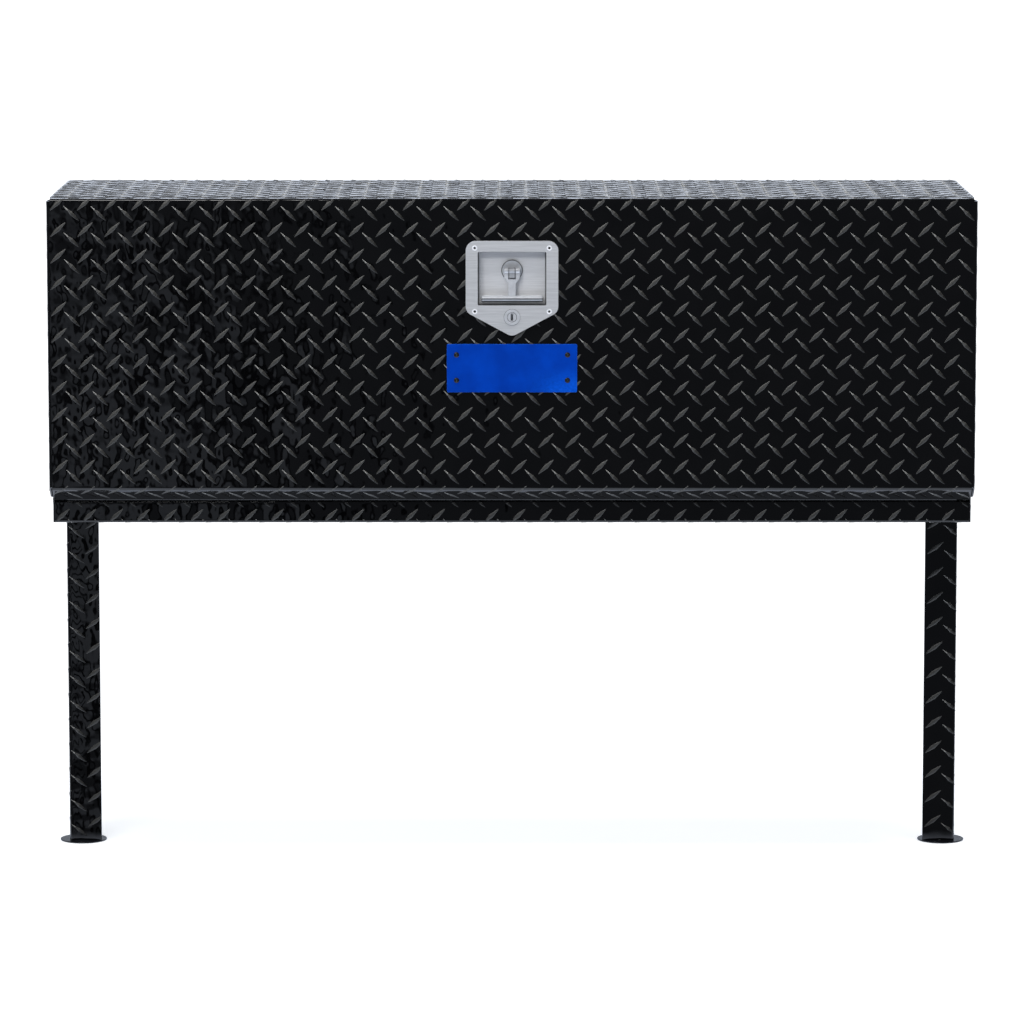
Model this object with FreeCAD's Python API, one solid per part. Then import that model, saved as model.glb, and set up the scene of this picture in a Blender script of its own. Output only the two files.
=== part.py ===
import FreeCAD, Part
import math
import os

# A topside tool box for a pickup truck: a folded tread-plate body on two legs, closed at the
# front by a drop-down door with a folding T-handle latch. The front faces -Y and +Z is up.
# The origin is on the floor, under the middle of the whole box.
# All sizes are in millimetres. Tread plate is drawn solid to the tops of its lugs.

# Tread plate and folds
sheet = 1.6
tread = 1.2
fold_radius = 1.4
plate = sheet + tread
fit_gap = 0.1
loose_gap = 0.3
cut_over = 1.0

# Door, over its plain sheet
door_width = 1216.8
door_side_overhang = 2.0
door_depth = 27.5
door_lower_slope = 32.0
door_return = 15.0
liner_sheet = 1.2
top_relief = 4.3
side_relief = 2.6
bottom_relief = 3.3

# Body, over its plain sheet, with depths counted back from the door's plain face
body_height = 430.3
body_below_door = 48.3
body_depth = 342.5
top_lip = 30.0
side_lip = 30.0
sill_return = 26.0

# Continuous hinge
knuckle_radius = 2.5
hinge_pin_radius = 1.45
hinge_leaf = 1.1
hinge_end_inset = 13.4
knuckle_pitch = 50.0
knuckle_gap = 0.5
hinge_leaf_width = 24.0
hinge_rivet_reach = 15.6
hinge_rise = 1.3
pin_to_liner_back = knuckle_radius
pin_to_rail = 1.8

# Legs and feet
leg_drop = 467.7
leg_sheet = 3.0
leg_front_flange = 44.5
leg_side_flange = 42.0
leg_depth = 233.9
leg_inset = 1.0
leg_cap_thickness = 3.0
leg_cap_length = 84.0
leg_cap_overhang = 6.0
foot_radius = 31.75
foot_thickness = 2.0
foot_shift_out = 5.0
foot_shift_back = 16.0
foot_hole_radius = 4.5

# Rail bolt holes in the floor
rail_hole_radius = 4.5
rail_hole_inset = 106.4
rail_hole_spacing_y = 60.0
rail_hole_depth = 100.0

# Latch, with heights counted down from the top of the door
gasket = 1.0
latch_sheet = 1.5
latch_top = 54.4
latch_half_width = 60.6
latch_shoulder = 147.6
latch_tip = 180.15
latch_corner_radius = 13.0
latch_shoulder_radius = 11.9
latch_tip_radius = 11.6
pan_half_width = 44.8
pan_top = 68.7
pan_bottom = 139.0
pan_depth = 14.0
pan_corner = 2.0
latch_rivet_x = 48.8
latch_rivet_top = 63.7
latch_rivet_bottom = 147.1
hub_drop = 94.0
hub_radius = 14.0
hub_flange = 2.0
hub_neck_radius = 9.0
hub_neck_length = 11.0
hub_nut_size = 24.0
hub_nut_thickness = 4.0
handle_pin_radius = 1.5
handle_pin_rise = 6.5
ear_radius = 4.0
fork_half_width = 10.3
fork_slot_half_width = 4.8
fork_slot_drop = 11.0
tongue_end_gap = 1.2
stem_half_width = 5.0
stem_thickness = 5.0
stem_taper_start = 9.0
stem_taper_end = 16.5
bar_drop = 36.9
bar_half_length = 40.4
bar_radius = 4.15
bar_end_round = 1.2

# Cam that the latch turns
shaft_radius = 5.0
cam_thickness = 3.0
cam_half_width = 12.0
cam_reach = 45.0
cam_gap = 0.6
cam_nut_size = 14.0
cam_nut_thickness = 5.0
cam_washer_radius = 8.0
shaft_end_proud = 1.5
bush_wall = 1.6
bush_rim = 2.8
bush_lead = 2.8
washer_thickness = 1.2
strike_sheet = 2.0
strike_half_width = 24.0
strike_top = 4.4
strike_drop = 62.0
strike_rivet_x = 14.0
strike_rivet_drop = 10.0

# Lock
lock_drop = 154.5
lock_head_radius = 10.8
lock_head_proud = 0.8
lock_body_radius = 9.4
lock_length = 24.0
lock_nut_size = 26.0
lock_nut_thickness = 4.0
plug_radius = 6.2
plug_length = 25.5
plug_seat = 0.4
keyway_height = 8.8
keyway_width = 2.6
keyway_depth = 9.0
tail_length = 26.0
tail_half_width = 5.0
tail_thickness = 2.0
tail_screw_radius = 1.8

# Badge plate
badge_half_width = 85.4
badge_top = 190.0
badge_bottom = 253.5
badge_thickness = 1.0
badge_corner = 2.0
badge_rivet_x = 72.8
badge_rivet_top = 204.2
badge_rivet_bottom = 237.7

# Check stays
stay_radius = 170.0
stay_pivot_angle = 6.8
stay_lag_angle = 20.0
stay_swing = 90.0
stay_inset = 46.4
stay_thickness = 3.0
stay_half_width = 9.5
stay_pin_radius = 4.0
stay_slot_gap = 0.25
stay_end = 13.0
stay_slot_margin = 1.0
bracket_sheet = 3.0
bracket_length = 30.0
bracket_fold_radius = 2.0
bracket_edge = 12.0
bracket_foot = 36.0
bracket_rivet_spacing = 15.0
stay_head_radius = 6.5
stay_head_height = 2.0

# Weather strip
strip_width = 12.0
strip_edge = 2.0

# Rivets, screws and plugs
rivet_radius = 2.0
rivet_head_radius = 3.6
rivet_head_height = 1.0
rivet_tail_radius = 2.9
rivet_tail_length = 2.2
mandrel_radius = 1.1
hinge_rivet_count = 24
liner_rivet_pitch = 110.0
liner_rivet_inset = 9.0
bolt_radius = 3.0
bolt_hole_radius = 3.3
bolt_head_size = 10.0
bolt_head_height = 4.0
leg_washer_radius = 7.0
leg_bolt_x = 27.0
leg_bolt_spacing = 34.0
plug_hole_radius = 12.0
plug_rim_radius = 15.5
plug_rim = 2.0
plug_inset = 66.4
plug_height = 45.0
stiffener_inset = 278.4
stiffener_crown = 40.0
stiffener_foot = 18.0
stiffener_end_gap = 22.0

# Sizes and places worked out from the sizes above
body_width = door_width - 2 * door_side_overhang
door_face_height = body_height - body_below_door
hinge_length = door_width - 2 * hinge_end_inset
stay_plane = body_width / 2 - stay_inset
plug_x = body_width / 2 - plug_inset
stiffener_x = door_width / 2 - stiffener_inset
rail_hole_x = body_width / 2 - rail_hole_inset
front_stand = tread + gasket + latch_sheet + lock_head_proud
face_y = (front_stand - body_depth - tread) / 2
floor_z = leg_drop
roof_z = floor_z + tread + body_height
liner_back_y = face_y + door_depth
liner_front_y = liner_back_y - liner_sheet
hinge_y = liner_back_y + pin_to_liner_back
front_y = hinge_y + pin_to_rail
lip_back_y = front_y + plate
back_y = face_y + body_depth
slope_tan = math.tan(math.radians(door_lower_slope))
slope_cos = math.cos(math.radians(door_lower_slope))
slope_sin = math.sin(math.radians(door_lower_slope))
end_inner_x = body_width / 2 - sheet
opening_half_width = end_inner_x - side_lip


def slope_z(y, outward):
    """Height of the door's sloping bottom at y, moved outward from the plain sheet."""
    return roof_z - door_face_height - (y - face_y) * slope_tan - outward / slope_cos


flange_end_y = liner_back_y - loose_gap - plate * slope_sin
hinge_z = slope_z(flange_end_y, tread) + hinge_rise
sill_z = hinge_z - knuckle_radius
latch_face_y = face_y - tread - gasket - latch_sheet
pan_floor_y = latch_face_y + pan_depth
pan_back_y = pan_floor_y + latch_sheet
hub_face_y = pan_floor_y - hub_flange
handle_y = pan_floor_y - handle_pin_rise
hub_z = roof_z - hub_drop
lock_z = roof_z - lock_drop
strike_back_y = lip_back_y + strike_sheet
cam_front_y = strike_back_y + cam_gap
square_half = shaft_radius * math.sqrt(0.5)
stay_door_y = hinge_y + stay_radius * math.sin(math.radians(stay_pivot_angle))
stay_door_z = hinge_z + stay_radius * math.cos(math.radians(stay_pivot_angle))
stay_body_angle = math.radians(stay_pivot_angle + stay_lag_angle)
stay_body_y = hinge_y + stay_radius * math.sin(stay_body_angle)
stay_body_z = hinge_z + stay_radius * math.cos(stay_body_angle)
stay_bracket_x = stay_plane + stay_thickness + fit_gap + bracket_sheet
leg_outer_x = body_width / 2 - leg_inset + tread
leg_front_y = face_y + leg_depth - tread
leg_plate = leg_sheet + tread
leg_cap_z = floor_z - leg_cap_thickness
foot_x = body_width / 2 - leg_inset - leg_front_flange / 2 + foot_shift_out
foot_y = face_y + leg_depth + foot_shift_back
body_floor_z = floor_z + plate


def point_yz(y, z):
    return FreeCAD.Vector(0, y, z)


def point_xy(x, y):
    return FreeCAD.Vector(x, y, 0)


def point_xz(x, z):
    return FreeCAD.Vector(x, 0, z)


def box(x0, x1, y0, y1, z0, z1):
    corner = FreeCAD.Vector(min(x0, x1), min(y0, y1), min(z0, z1))
    return Part.makeBox(abs(x1 - x0), abs(y1 - y0), abs(z1 - z0), corner)


def rod_x(radius, x0, x1, y, z):
    start = FreeCAD.Vector(min(x0, x1), y, z)
    return Part.makeCylinder(radius, abs(x1 - x0), start, FreeCAD.Vector(1, 0, 0))


def rod_y(radius, x, y0, y1, z):
    start = FreeCAD.Vector(x, min(y0, y1), z)
    return Part.makeCylinder(radius, abs(y1 - y0), start, FreeCAD.Vector(0, 1, 0))


def rod_z(radius, x, y, z0, z1):
    start = FreeCAD.Vector(x, y, min(z0, z1))
    return Part.makeCylinder(radius, abs(z1 - z0), start, FreeCAD.Vector(0, 0, 1))


def mirrored(shape):
    return shape.mirror(FreeCAD.Vector(0, 0, 0), FreeCAD.Vector(1, 0, 0))


def moved(shape, x=0.0, y=0.0, z=0.0):
    copy = shape.copy()
    copy.translate(FreeCAD.Vector(x, y, z))
    return copy


def fused(shapes):
    return shapes[0].fuse(shapes[1:]).removeSplitter()


def rounded_outline(corners, place):
    """Closed face through corners (u, v, radius), with each corner rounded."""
    edges = []
    last = None
    first = None
    count = len(corners)
    for index in range(count):
        before = corners[index - 1]
        here = corners[index]
        after = corners[(index + 1) % count]
        start, middle, end = corner_arc(before, here, after, here[2])
        if last is not None and math.dist(last, start) > 1e-6:
            edges.append(Part.LineSegment(place(*last), place(*start)).toShape())
        if here[2] > 0:
            edges.append(Part.Arc(place(*start), place(*middle), place(*end)).toShape())
        if first is None:
            first = start
        last = end
    edges.append(Part.LineSegment(place(*last), place(*first)).toShape())
    return Part.Face(Part.Wire(edges))


def corner_arc(before, here, after, radius):
    """Start, middle and end of the arc that rounds one corner of an outline."""
    if radius <= 0:
        return here[:2], here[:2], here[:2]
    inward = math.atan2(before[1] - here[1], before[0] - here[0])
    outward = math.atan2(after[1] - here[1], after[0] - here[0])
    half = abs(math.remainder(outward - inward, 2 * math.pi)) / 2
    tangent = radius / math.tan(half)
    start = step(here, inward, tangent)
    end = step(here, outward, tangent)
    bisector = inward + math.remainder(outward - inward, 2 * math.pi) / 2
    middle = step(here, bisector, radius / math.sin(half) - radius)
    return start, middle, end


def step(point, angle, distance):
    return (point[0] + distance * math.cos(angle), point[1] + distance * math.sin(angle))


def folded(path, thickness, radius, place):
    """Section of a folded sheet. The path is its face; the sheet lies to the path's right."""
    near = []
    far = []
    last = len(path) - 1
    for index in range(last + 1):
        here = path[index]
        back_step = math.atan2(here[1] - path[index - 1][1], here[0] - path[index - 1][0])
        ahead = path[min(index + 1, last)]
        next_step = math.atan2(ahead[1] - here[1], ahead[0] - here[0])
        if index in (0, last):
            along = next_step if index == 0 else back_step
            near.append((here,))
            far.append((step(here, along - math.pi / 2, thickness),))
            continue
        turn = math.remainder(next_step - back_step, 2 * math.pi)
        near_radius = radius + thickness if turn < 0 else radius
        far_radius = radius if turn < 0 else radius + thickness
        side = math.copysign(math.pi / 2, turn)
        tangent = near_radius * math.tan(abs(turn) / 2)
        start = step(here, back_step, -tangent)
        centre = step(start, back_step + side, near_radius)
        spokes = [back_step - side, back_step - side + turn / 2, next_step - side]
        near.append(tuple(step(centre, angle, near_radius) for angle in spokes))
        far.append(tuple(step(centre, angle, far_radius) for angle in spokes))
    return closed_face(near + far[::-1], len(near), place)


def closed_face(stations, turn_back, place):
    """Face whose outline runs through single points and three-point arcs."""
    edges = []
    points = [station if index < turn_back else station[::-1]
              for index, station in enumerate(stations)]
    for index, station in enumerate(points):
        if len(station) == 3:
            edges.append(Part.Arc(*[place(*point) for point in station]).toShape())
        after = points[(index + 1) % len(points)]
        edges.append(Part.LineSegment(place(*station[-1]), place(*after[0])).toShape())
    return Part.Face(Part.Wire(edges))


def along_x(face, x0, x1):
    return moved(face, x=x0).extrude(FreeCAD.Vector(x1 - x0, 0, 0))


def along_y(face, y0, y1):
    return moved(face, y=y0).extrude(FreeCAD.Vector(0, y1 - y0, 0))


def along_z(face, z0, z1):
    return moved(face, z=z0).extrude(FreeCAD.Vector(0, 0, z1 - z0))


def round_ended(start, end, half, place):
    """Bar face along the first axis, with half-round ends centred on start and end."""
    edges = [Part.LineSegment(place(start, -half), place(end, -half)).toShape(),
             Part.Arc(place(end, -half), place(end + half, 0), place(end, half)).toShape(),
             Part.LineSegment(place(end, half), place(start, half)).toShape(),
             Part.Arc(place(start, half), place(start - half, 0), place(start, -half)).toShape()]
    return Part.Face(Part.Wire(edges))


def hexagon(size, place):
    """Six-sided face with the given width across its flats, centred on zero."""
    radius = size / math.sqrt(3)
    corners = [(radius * math.cos(math.radians(60 * side)),
                radius * math.sin(math.radians(60 * side)), 0) for side in range(6)]
    return rounded_outline(corners, place)


def blind_rivet(head_place, towards, grip):
    """Domed blind rivet: head outside, shank through the grip, swollen tail behind it."""
    start = FreeCAD.Vector(*head_place)
    axis = FreeCAD.Vector(*towards)
    head = Part.makeCone(rivet_head_radius, rivet_head_radius / 2, rivet_head_height,
                         start, axis * -1)
    shank = Part.makeCylinder(rivet_radius, grip + rivet_tail_length, start, axis)
    tail = Part.makeCylinder(rivet_tail_radius, rivet_tail_length, start + axis * grip, axis)
    mandrel = Part.makeCylinder(mandrel_radius, rivet_head_height, start - axis * rivet_head_height,
                                axis)
    return fused([head, shank, tail]).cut(mandrel)


def rivet_holes(places, towards, depth):
    """Clearance holes for rivets whose heads sit at the given places."""
    axis = FreeCAD.Vector(*towards)
    return [Part.makeCylinder(rivet_radius + fit_gap, depth + 2 * plate,
                              FreeCAD.Vector(*place) - axis * plate, axis) for place in places]


def spread(low, high, count):
    """Evenly spaced values from low to high."""
    return [low + (high - low) * index / (count - 1) for index in range(count)]


def body_shell():
    """Roof, back, floor and front rail, folded from one sheet of tread plate."""
    path = [(front_y, roof_z - top_lip), (front_y, roof_z + tread),
            (back_y + tread, roof_z + tread), (back_y + tread, floor_z),
            (front_y, floor_z), (front_y, sill_z), (front_y + sill_return, sill_z)]
    shell = along_x(folded(path, plate, fold_radius, point_yz), -end_inner_x, end_inner_x)
    holes = [rod_z(rail_hole_radius, x, y, floor_z - plate, body_floor_z + plate)
             for x, y in rail_hole_places()]
    holes += [rod_z(bolt_hole_radius, x, y, floor_z - plate, body_floor_z + plate)
              for x, y in leg_bolt_places()]
    holes += [rod_y(plug_hole_radius, x, back_y - 2 * plate, back_y + 2 * plate,
                    body_floor_z + plug_height) for x in (-plug_x, plug_x)]
    holes += rivet_holes(hinge_body_rivet_places(), (0, 0, -1), hinge_leaf + plate)
    holes += rivet_holes(strike_rivet_places(), (0, 1, 0), plate)
    return shell.cut(holes)


def rail_hole_places():
    middle_y = face_y + rail_hole_depth
    return [(side * rail_hole_x, middle_y + end * rail_hole_spacing_y / 2)
            for side in (-1, 1) for end in (-1, 1)]


def leg_bolt_places():
    """Bolt places, two in each leg's top plate, inboard of the leg."""
    x = leg_outer_x - leg_front_flange - leg_bolt_x + leg_cap_overhang
    return [(side * x, leg_front_y + leg_side_flange / 2 + end * leg_bolt_spacing / 2)
            for side in (-1, 1) for end in (-1, 1)]


def right_end_panel():
    """End of the body, with its front edge folded in as one side of the door opening."""
    outer_x = body_width / 2 + tread
    path = [(outer_x, back_y), (outer_x, front_y), (opening_half_width, front_y)]
    panel = along_z(folded(path, plate, fold_radius, point_xy), floor_z, roof_z + tread)
    corner = fold_radius + sheet
    outline = rounded_outline([(front_y - plate, floor_z + tread, 0), (back_y, floor_z + tread, corner),
                               (back_y, roof_z, corner), (front_y - plate, roof_z, 0)], point_yz)
    panel = panel.common(along_x(outline, 0, outer_x))
    above = box(0, end_inner_x, front_y - plate, back_y, roof_z - top_lip, roof_z + plate)
    below = box(0, end_inner_x, front_y - plate, back_y, floor_z, sill_z)
    notch = box(0, hinge_half() + loose_gap, front_y - plate, hinge_y + hinge_leaf_width,
                sill_z, hinge_z + knuckle_radius + loose_gap)
    panel = panel.cut([above, below, notch])
    return panel.cut(rivet_holes(stay_bracket_rivet_places(), (-1, 0, 0), plate))


def weather_strip():
    """Sponge rubber strip on the lips, across the top and down both sides of the opening."""
    inner_x = opening_half_width + strip_edge
    outer_x = inner_x + strip_width
    inner_z = roof_z - top_lip + strip_edge
    outer_z = inner_z + strip_width
    arch = rounded_outline([(-outer_x, sill_z, 0), (-outer_x, outer_z, strip_edge),
                            (outer_x, outer_z, strip_edge), (outer_x, sill_z, 0),
                            (inner_x, sill_z, 0), (inner_x, inner_z, 0),
                            (-inner_x, inner_z, 0), (-inner_x, sill_z, 0)], point_xz)
    strip = along_y(arch, liner_back_y + loose_gap, front_y)
    ledge = box(-outer_x, outer_x, liner_back_y, front_y, sill_z,
                hinge_z + hinge_leaf_width + loose_gap)
    return strip.cut(ledge)


def strike_plate():
    """Plate behind the top lip that the cam turns up behind."""
    strike = box(-strike_half_width, strike_half_width, lip_back_y, strike_back_y,
                 roof_z - strike_drop, roof_z - strike_top)
    return strike.cut(rivet_holes(strike_rivet_places(), (0, 1, 0), plate + strike_sheet))


def strike_rivet_places():
    return [(side * strike_rivet_x, front_y, roof_z - strike_rivet_drop) for side in (-1, 1)]


def hinge_stations():
    """Start of every knuckle along the hinge, from left to right."""
    count = int(hinge_length // (knuckle_pitch / 2))
    return [-count * knuckle_pitch / 4 + index * knuckle_pitch / 2 for index in range(count)]


def hinge_leaf_plate(own, leaf):
    """One leaf with the knuckles that belong to it and notches for the others."""
    knuckle = knuckle_pitch / 2
    parts = [leaf]
    notches = []
    for index, x in enumerate(hinge_stations()):
        if index % 2 == own:
            parts.append(rod_x(knuckle_radius, x + knuckle_gap / 2, x + knuckle - knuckle_gap / 2,
                               hinge_y, hinge_z))
        else:
            reach = knuckle_radius + loose_gap
            notches.append(box(x - knuckle_gap / 2, x + knuckle + knuckle_gap / 2,
                               hinge_y - reach, hinge_y + reach, hinge_z - reach, hinge_z + reach))
    bore = rod_x(hinge_pin_radius + fit_gap / 2, -hinge_length, hinge_length, hinge_y, hinge_z)
    return parts[0].cut(notches).fuse(parts[1:]).removeSplitter().cut(bore)


def hinge_half():
    return len(hinge_stations()) * knuckle_pitch / 4


def hinge_body_leaf():
    """Hinge leaf that lies on the sill."""
    leaf = box(-hinge_half(), hinge_half(), hinge_y, hinge_y + hinge_leaf_width,
               sill_z, sill_z + hinge_leaf)
    holes = rivet_holes(hinge_body_rivet_places(), (0, 0, -1), hinge_leaf)
    return hinge_leaf_plate(0, leaf).cut(holes)


def hinge_door_leaf():
    """Hinge leaf that lies on the back of the door's liner."""
    leaf = box(-hinge_half(), hinge_half(), liner_back_y, liner_back_y + hinge_leaf,
               hinge_z, hinge_z + hinge_leaf_width)
    holes = rivet_holes(hinge_door_rivet_places(), (0, -1, 0), hinge_leaf)
    return hinge_leaf_plate(1, leaf).cut(holes)


def hinge_pin():
    return rod_x(hinge_pin_radius, -hinge_half(), hinge_half(), hinge_y, hinge_z)


def hinge_rivet_xs():
    edge = hinge_half() - knuckle_pitch / 4
    return spread(-edge, edge, hinge_rivet_count)


def hinge_body_rivet_places():
    y = hinge_y + hinge_rivet_reach
    return [(x, y, sill_z + hinge_leaf) for x in hinge_rivet_xs()]


def hinge_door_rivet_places():
    z = hinge_z + hinge_rivet_reach
    return [(x, liner_back_y + hinge_leaf, z) for x in hinge_rivet_xs()]


def right_leg():
    """Angle of tread plate, folded on its outer front corner."""
    path = [(leg_outer_x, leg_front_y + leg_side_flange), (leg_outer_x, leg_front_y),
            (leg_outer_x - leg_front_flange, leg_front_y)]
    return along_z(folded(path, leg_plate, fold_radius, point_xy), foot_thickness, leg_cap_z)


def right_leg_cap():
    """Flat plate welded to the top of the leg and bolted up to the floor."""
    outer_x = leg_outer_x
    inner_x = outer_x - leg_cap_length
    front = leg_front_y - leg_cap_overhang
    back = leg_front_y + leg_side_flange + leg_cap_overhang
    corner = leg_cap_overhang
    outline = rounded_outline([(inner_x, front, corner), (outer_x, front, 0),
                               (outer_x, back, 0), (inner_x, back, corner)], point_xy)
    holes = [rod_z(bolt_hole_radius, x, y, leg_cap_z - plate, floor_z + plate)
             for x, y in leg_bolt_places()]
    return along_z(outline, leg_cap_z, floor_z).cut(holes)


def right_foot():
    """Round foot plate with a bolt hole in the angle of the leg."""
    disc = rod_z(foot_radius, foot_x, foot_y, 0, foot_thickness)
    return disc.cut(rod_z(foot_hole_radius, foot_x, foot_y, -plate, plate + foot_thickness))


def leg_bolts():
    """Hexagon bolts that hold the leg plates to the floor, heads below."""
    bolts = []
    for x, y in leg_bolt_places():
        head = moved(along_z(hexagon(bolt_head_size, point_xy), 0, bolt_head_height), x, y,
                     leg_cap_z - bolt_head_height)
        top = body_floor_z + washer_thickness + bolt_head_height + shaft_end_proud
        bolts.append(fused([head, rod_z(bolt_radius, x, y, leg_cap_z - bolt_head_height, top)]))
    return Part.makeCompound(bolts)


def leg_washers():
    return Part.makeCompound([
        rod_z(leg_washer_radius, x, y, body_floor_z, body_floor_z + washer_thickness).cut(
            rod_z(bolt_hole_radius, x, y, body_floor_z - plate, body_floor_z + plate))
        for x, y in leg_bolt_places()])


def leg_nuts():
    nuts = []
    low = body_floor_z + washer_thickness
    for x, y in leg_bolt_places():
        nut = moved(along_z(hexagon(bolt_head_size, point_xy), 0, bolt_head_height), x, y, low)
        nuts.append(nut.cut(rod_z(bolt_radius + fit_gap, x, y, low - plate,
                                  low + 2 * bolt_head_height)))
    return Part.makeCompound(nuts)


def wire_plugs():
    """Rubber plugs that close the wire holes in the back."""
    plugs = []
    for x in (-plug_x, plug_x):
        z = body_floor_z + plug_height
        inner = rod_y(plug_rim_radius, x, back_y - sheet - plug_rim, back_y - sheet, z)
        neck = rod_y(plug_hole_radius - fit_gap, x, back_y - sheet - plug_rim, back_y + tread, z)
        plugs.append(fused([inner, neck]))
    return Part.makeCompound(plugs)


def door_skin():
    """Outer door pan of tread plate, with its edges folded back and in."""
    half = door_width / 2 + tread
    out_y = face_y - tread
    back = liner_front_y
    top = roof_z + tread
    band = 2 * (fold_radius + plate)
    low_z = slope_z(out_y, tread)
    head_path = [(out_y, top - band), (out_y, top), (back, top), (back, top - door_return)]
    head_half = door_width / 2 - top_relief
    head = along_x(folded(head_path, plate, fold_radius, point_yz), -head_half, head_half)
    cill_path = [(flange_end_y, slope_z(flange_end_y, tread)), (out_y, low_z),
                 (out_y, low_z + band)]
    cill_half = door_width / 2 - bottom_relief
    cill = along_x(folded(cill_path, plate, fold_radius, point_yz), -cill_half, cill_half)
    side_path = [(half - door_return, back), (half, back), (half, out_y), (half - band, out_y)]
    side = along_z(folded(side_path, plate, fold_radius, point_xy), hinge_z - plate,
                   roof_z - side_relief)
    below = rounded_outline([(out_y - plate, slope_z(out_y - plate, -sheet - fit_gap), 0),
                             (back + plate, slope_z(back + plate, -sheet - fit_gap), 0),
                             (back + plate, hinge_z - 2 * door_return, 0),
                             (out_y - plate, hinge_z - 2 * door_return, 0)], point_yz)
    side = side.cut(along_x(below, 0, half + plate))
    edge = fold_radius + plate
    face = box(-half + edge, half - edge, out_y, out_y + plate, low_z + edge, top - edge)
    skin = fused([face, head, cill, side, mirrored(side)])
    return skin.cut(door_skin_openings())


def door_skin_openings():
    reach = pan_half_width + latch_sheet + loose_gap
    pan = box(-reach, reach, face_y - 2 * plate, face_y + 2 * plate,
              roof_z - pan_bottom - latch_sheet - loose_gap, roof_z - pan_top + latch_sheet + loose_gap)
    lock = rod_y(lock_body_radius + fit_gap, 0, face_y - 2 * plate, face_y + 2 * plate, lock_z)
    rivets = rivet_holes(latch_rivet_places(), (0, 1, 0), 2 * plate)
    rivets += rivet_holes(badge_rivet_places(), (0, 1, 0), 2 * plate)
    rivets += rivet_holes(liner_rivet_places(), (0, -1, 0), 2 * plate)
    return [pan, lock] + rivets


def latch_rivet_places():
    return [(side * latch_rivet_x, latch_face_y, roof_z - drop) for side in (-1, 1)
            for drop in (latch_rivet_top, latch_rivet_bottom)]


def badge_rivet_places():
    return [(side * badge_rivet_x, face_y - tread - badge_thickness, roof_z - drop)
            for side in (-1, 1) for drop in (badge_rivet_top, badge_rivet_bottom)]


def liner_rivet_places():
    """Rivets through the liner into the skin's return, across the top and down both sides."""
    half = door_width / 2 + tread - liner_rivet_inset
    top = roof_z + tread - liner_rivet_inset
    low = hinge_z + hinge_leaf_width + door_return
    across = int(2 * half // liner_rivet_pitch) + 1
    down = int((top - low) // liner_rivet_pitch) + 1
    places = [(x, liner_back_y, top) for x in spread(-half, half, across)]
    for side in (-1, 1):
        places += [(side * half, liner_back_y, z) for z in spread(top, low, down)[1:]]
    return places


def door_liner():
    """Smooth inner sheet, with its foot folded forward along the sloping bottom."""
    half = door_width / 2 - fold_radius - sheet
    foot_z = slope_z(liner_back_y, -sheet)
    foot = (liner_back_y - door_return * slope_cos, foot_z + door_return * slope_sin)
    path = [foot, (liner_back_y, foot_z), (liner_back_y, roof_z - fold_radius)]
    section = folded(path[::-1], liner_sheet, fold_radius / 2, point_yz)
    foot_half = door_width / 2 + tread - door_return - loose_gap
    liner = along_x(section, -foot_half, foot_half)
    wide = box(-half, half, liner_front_y, liner_back_y, hinge_z + hinge_leaf_width,
               roof_z - fold_radius)
    liner = fused([liner, wide])
    holes = rivet_holes(liner_rivet_places(), (0, -1, 0), plate)
    holes += rivet_holes(hinge_door_rivet_places(), (0, -1, 0), hinge_leaf)
    holes += rivet_holes(stay_door_rivet_places(), (0, -1, 0), plate)
    holes.append(rod_y(shaft_radius + bush_wall + fit_gap, 0, liner_front_y - cut_over,
                       liner_back_y + cut_over, hub_z))
    return liner.cut(holes)


def door_stiffeners():
    """Hat sections between the skin and the liner, one each side of the latch."""
    depth = liner_front_y - face_y - sheet - liner_sheet
    half = stiffener_crown / 2
    path = [(half + stiffener_foot, 0), (half, 0), (half, depth), (-half, depth),
            (-half, 0), (-half - stiffener_foot, 0)]
    face = folded(path, liner_sheet, fold_radius, point_xy)
    low = slope_z(liner_front_y, -sheet) + stiffener_end_gap
    high = roof_z - stiffener_end_gap
    base_y = face_y + sheet
    return Part.makeCompound([moved(along_z(face, low, high), side * stiffener_x, base_y)
                              for side in (-1, 1)])


def latch_outline(inset):
    """Latch plate outline, flat on top and pointed below, drawn in by the inset."""
    half = latch_half_width - inset
    slope = (latch_tip - latch_shoulder) / latch_half_width
    lift = inset * math.hypot(1, slope)
    shoulder = latch_tip - slope * half - lift
    return rounded_outline([
        (-half, roof_z - latch_top - inset, latch_corner_radius - inset),
        (half, roof_z - latch_top - inset, latch_corner_radius - inset),
        (half, roof_z - shoulder, latch_shoulder_radius - inset),
        (0, roof_z - latch_tip + lift, latch_tip_radius - inset),
        (-half, roof_z - shoulder, latch_shoulder_radius - inset)], point_xz)


def pan_block(grow, y0, y1):
    half = pan_half_width + grow
    top = roof_z - pan_top + grow
    low = roof_z - pan_bottom - grow
    corner = pan_corner + grow
    outline = rounded_outline([(-half, top, corner), (half, top, corner),
                               (half, low, corner), (-half, low, corner)], point_xz)
    return along_y(outline, y0, y1)


def latch_plate():
    """Pressed stainless plate with its handle pan."""
    flange = along_y(latch_outline(0), latch_face_y, latch_face_y + latch_sheet)
    pan = pan_block(latch_sheet, latch_face_y, pan_back_y)
    hollow = pan_block(0, latch_face_y - cut_over, pan_floor_y)
    hub_hole = rod_y(hub_neck_radius + fit_gap, 0, pan_floor_y - cut_over,
                     pan_back_y + cut_over, hub_z)
    lock_hole = rod_y(lock_body_radius + fit_gap, 0, latch_face_y - cut_over,
                      latch_face_y + plate, lock_z)
    sinks = [latch_rivet_sink(place, fit_gap) for place in latch_rivet_places()]
    return fused([flange, pan]).cut([hollow, hub_hole, lock_hole] + sinks)


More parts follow.
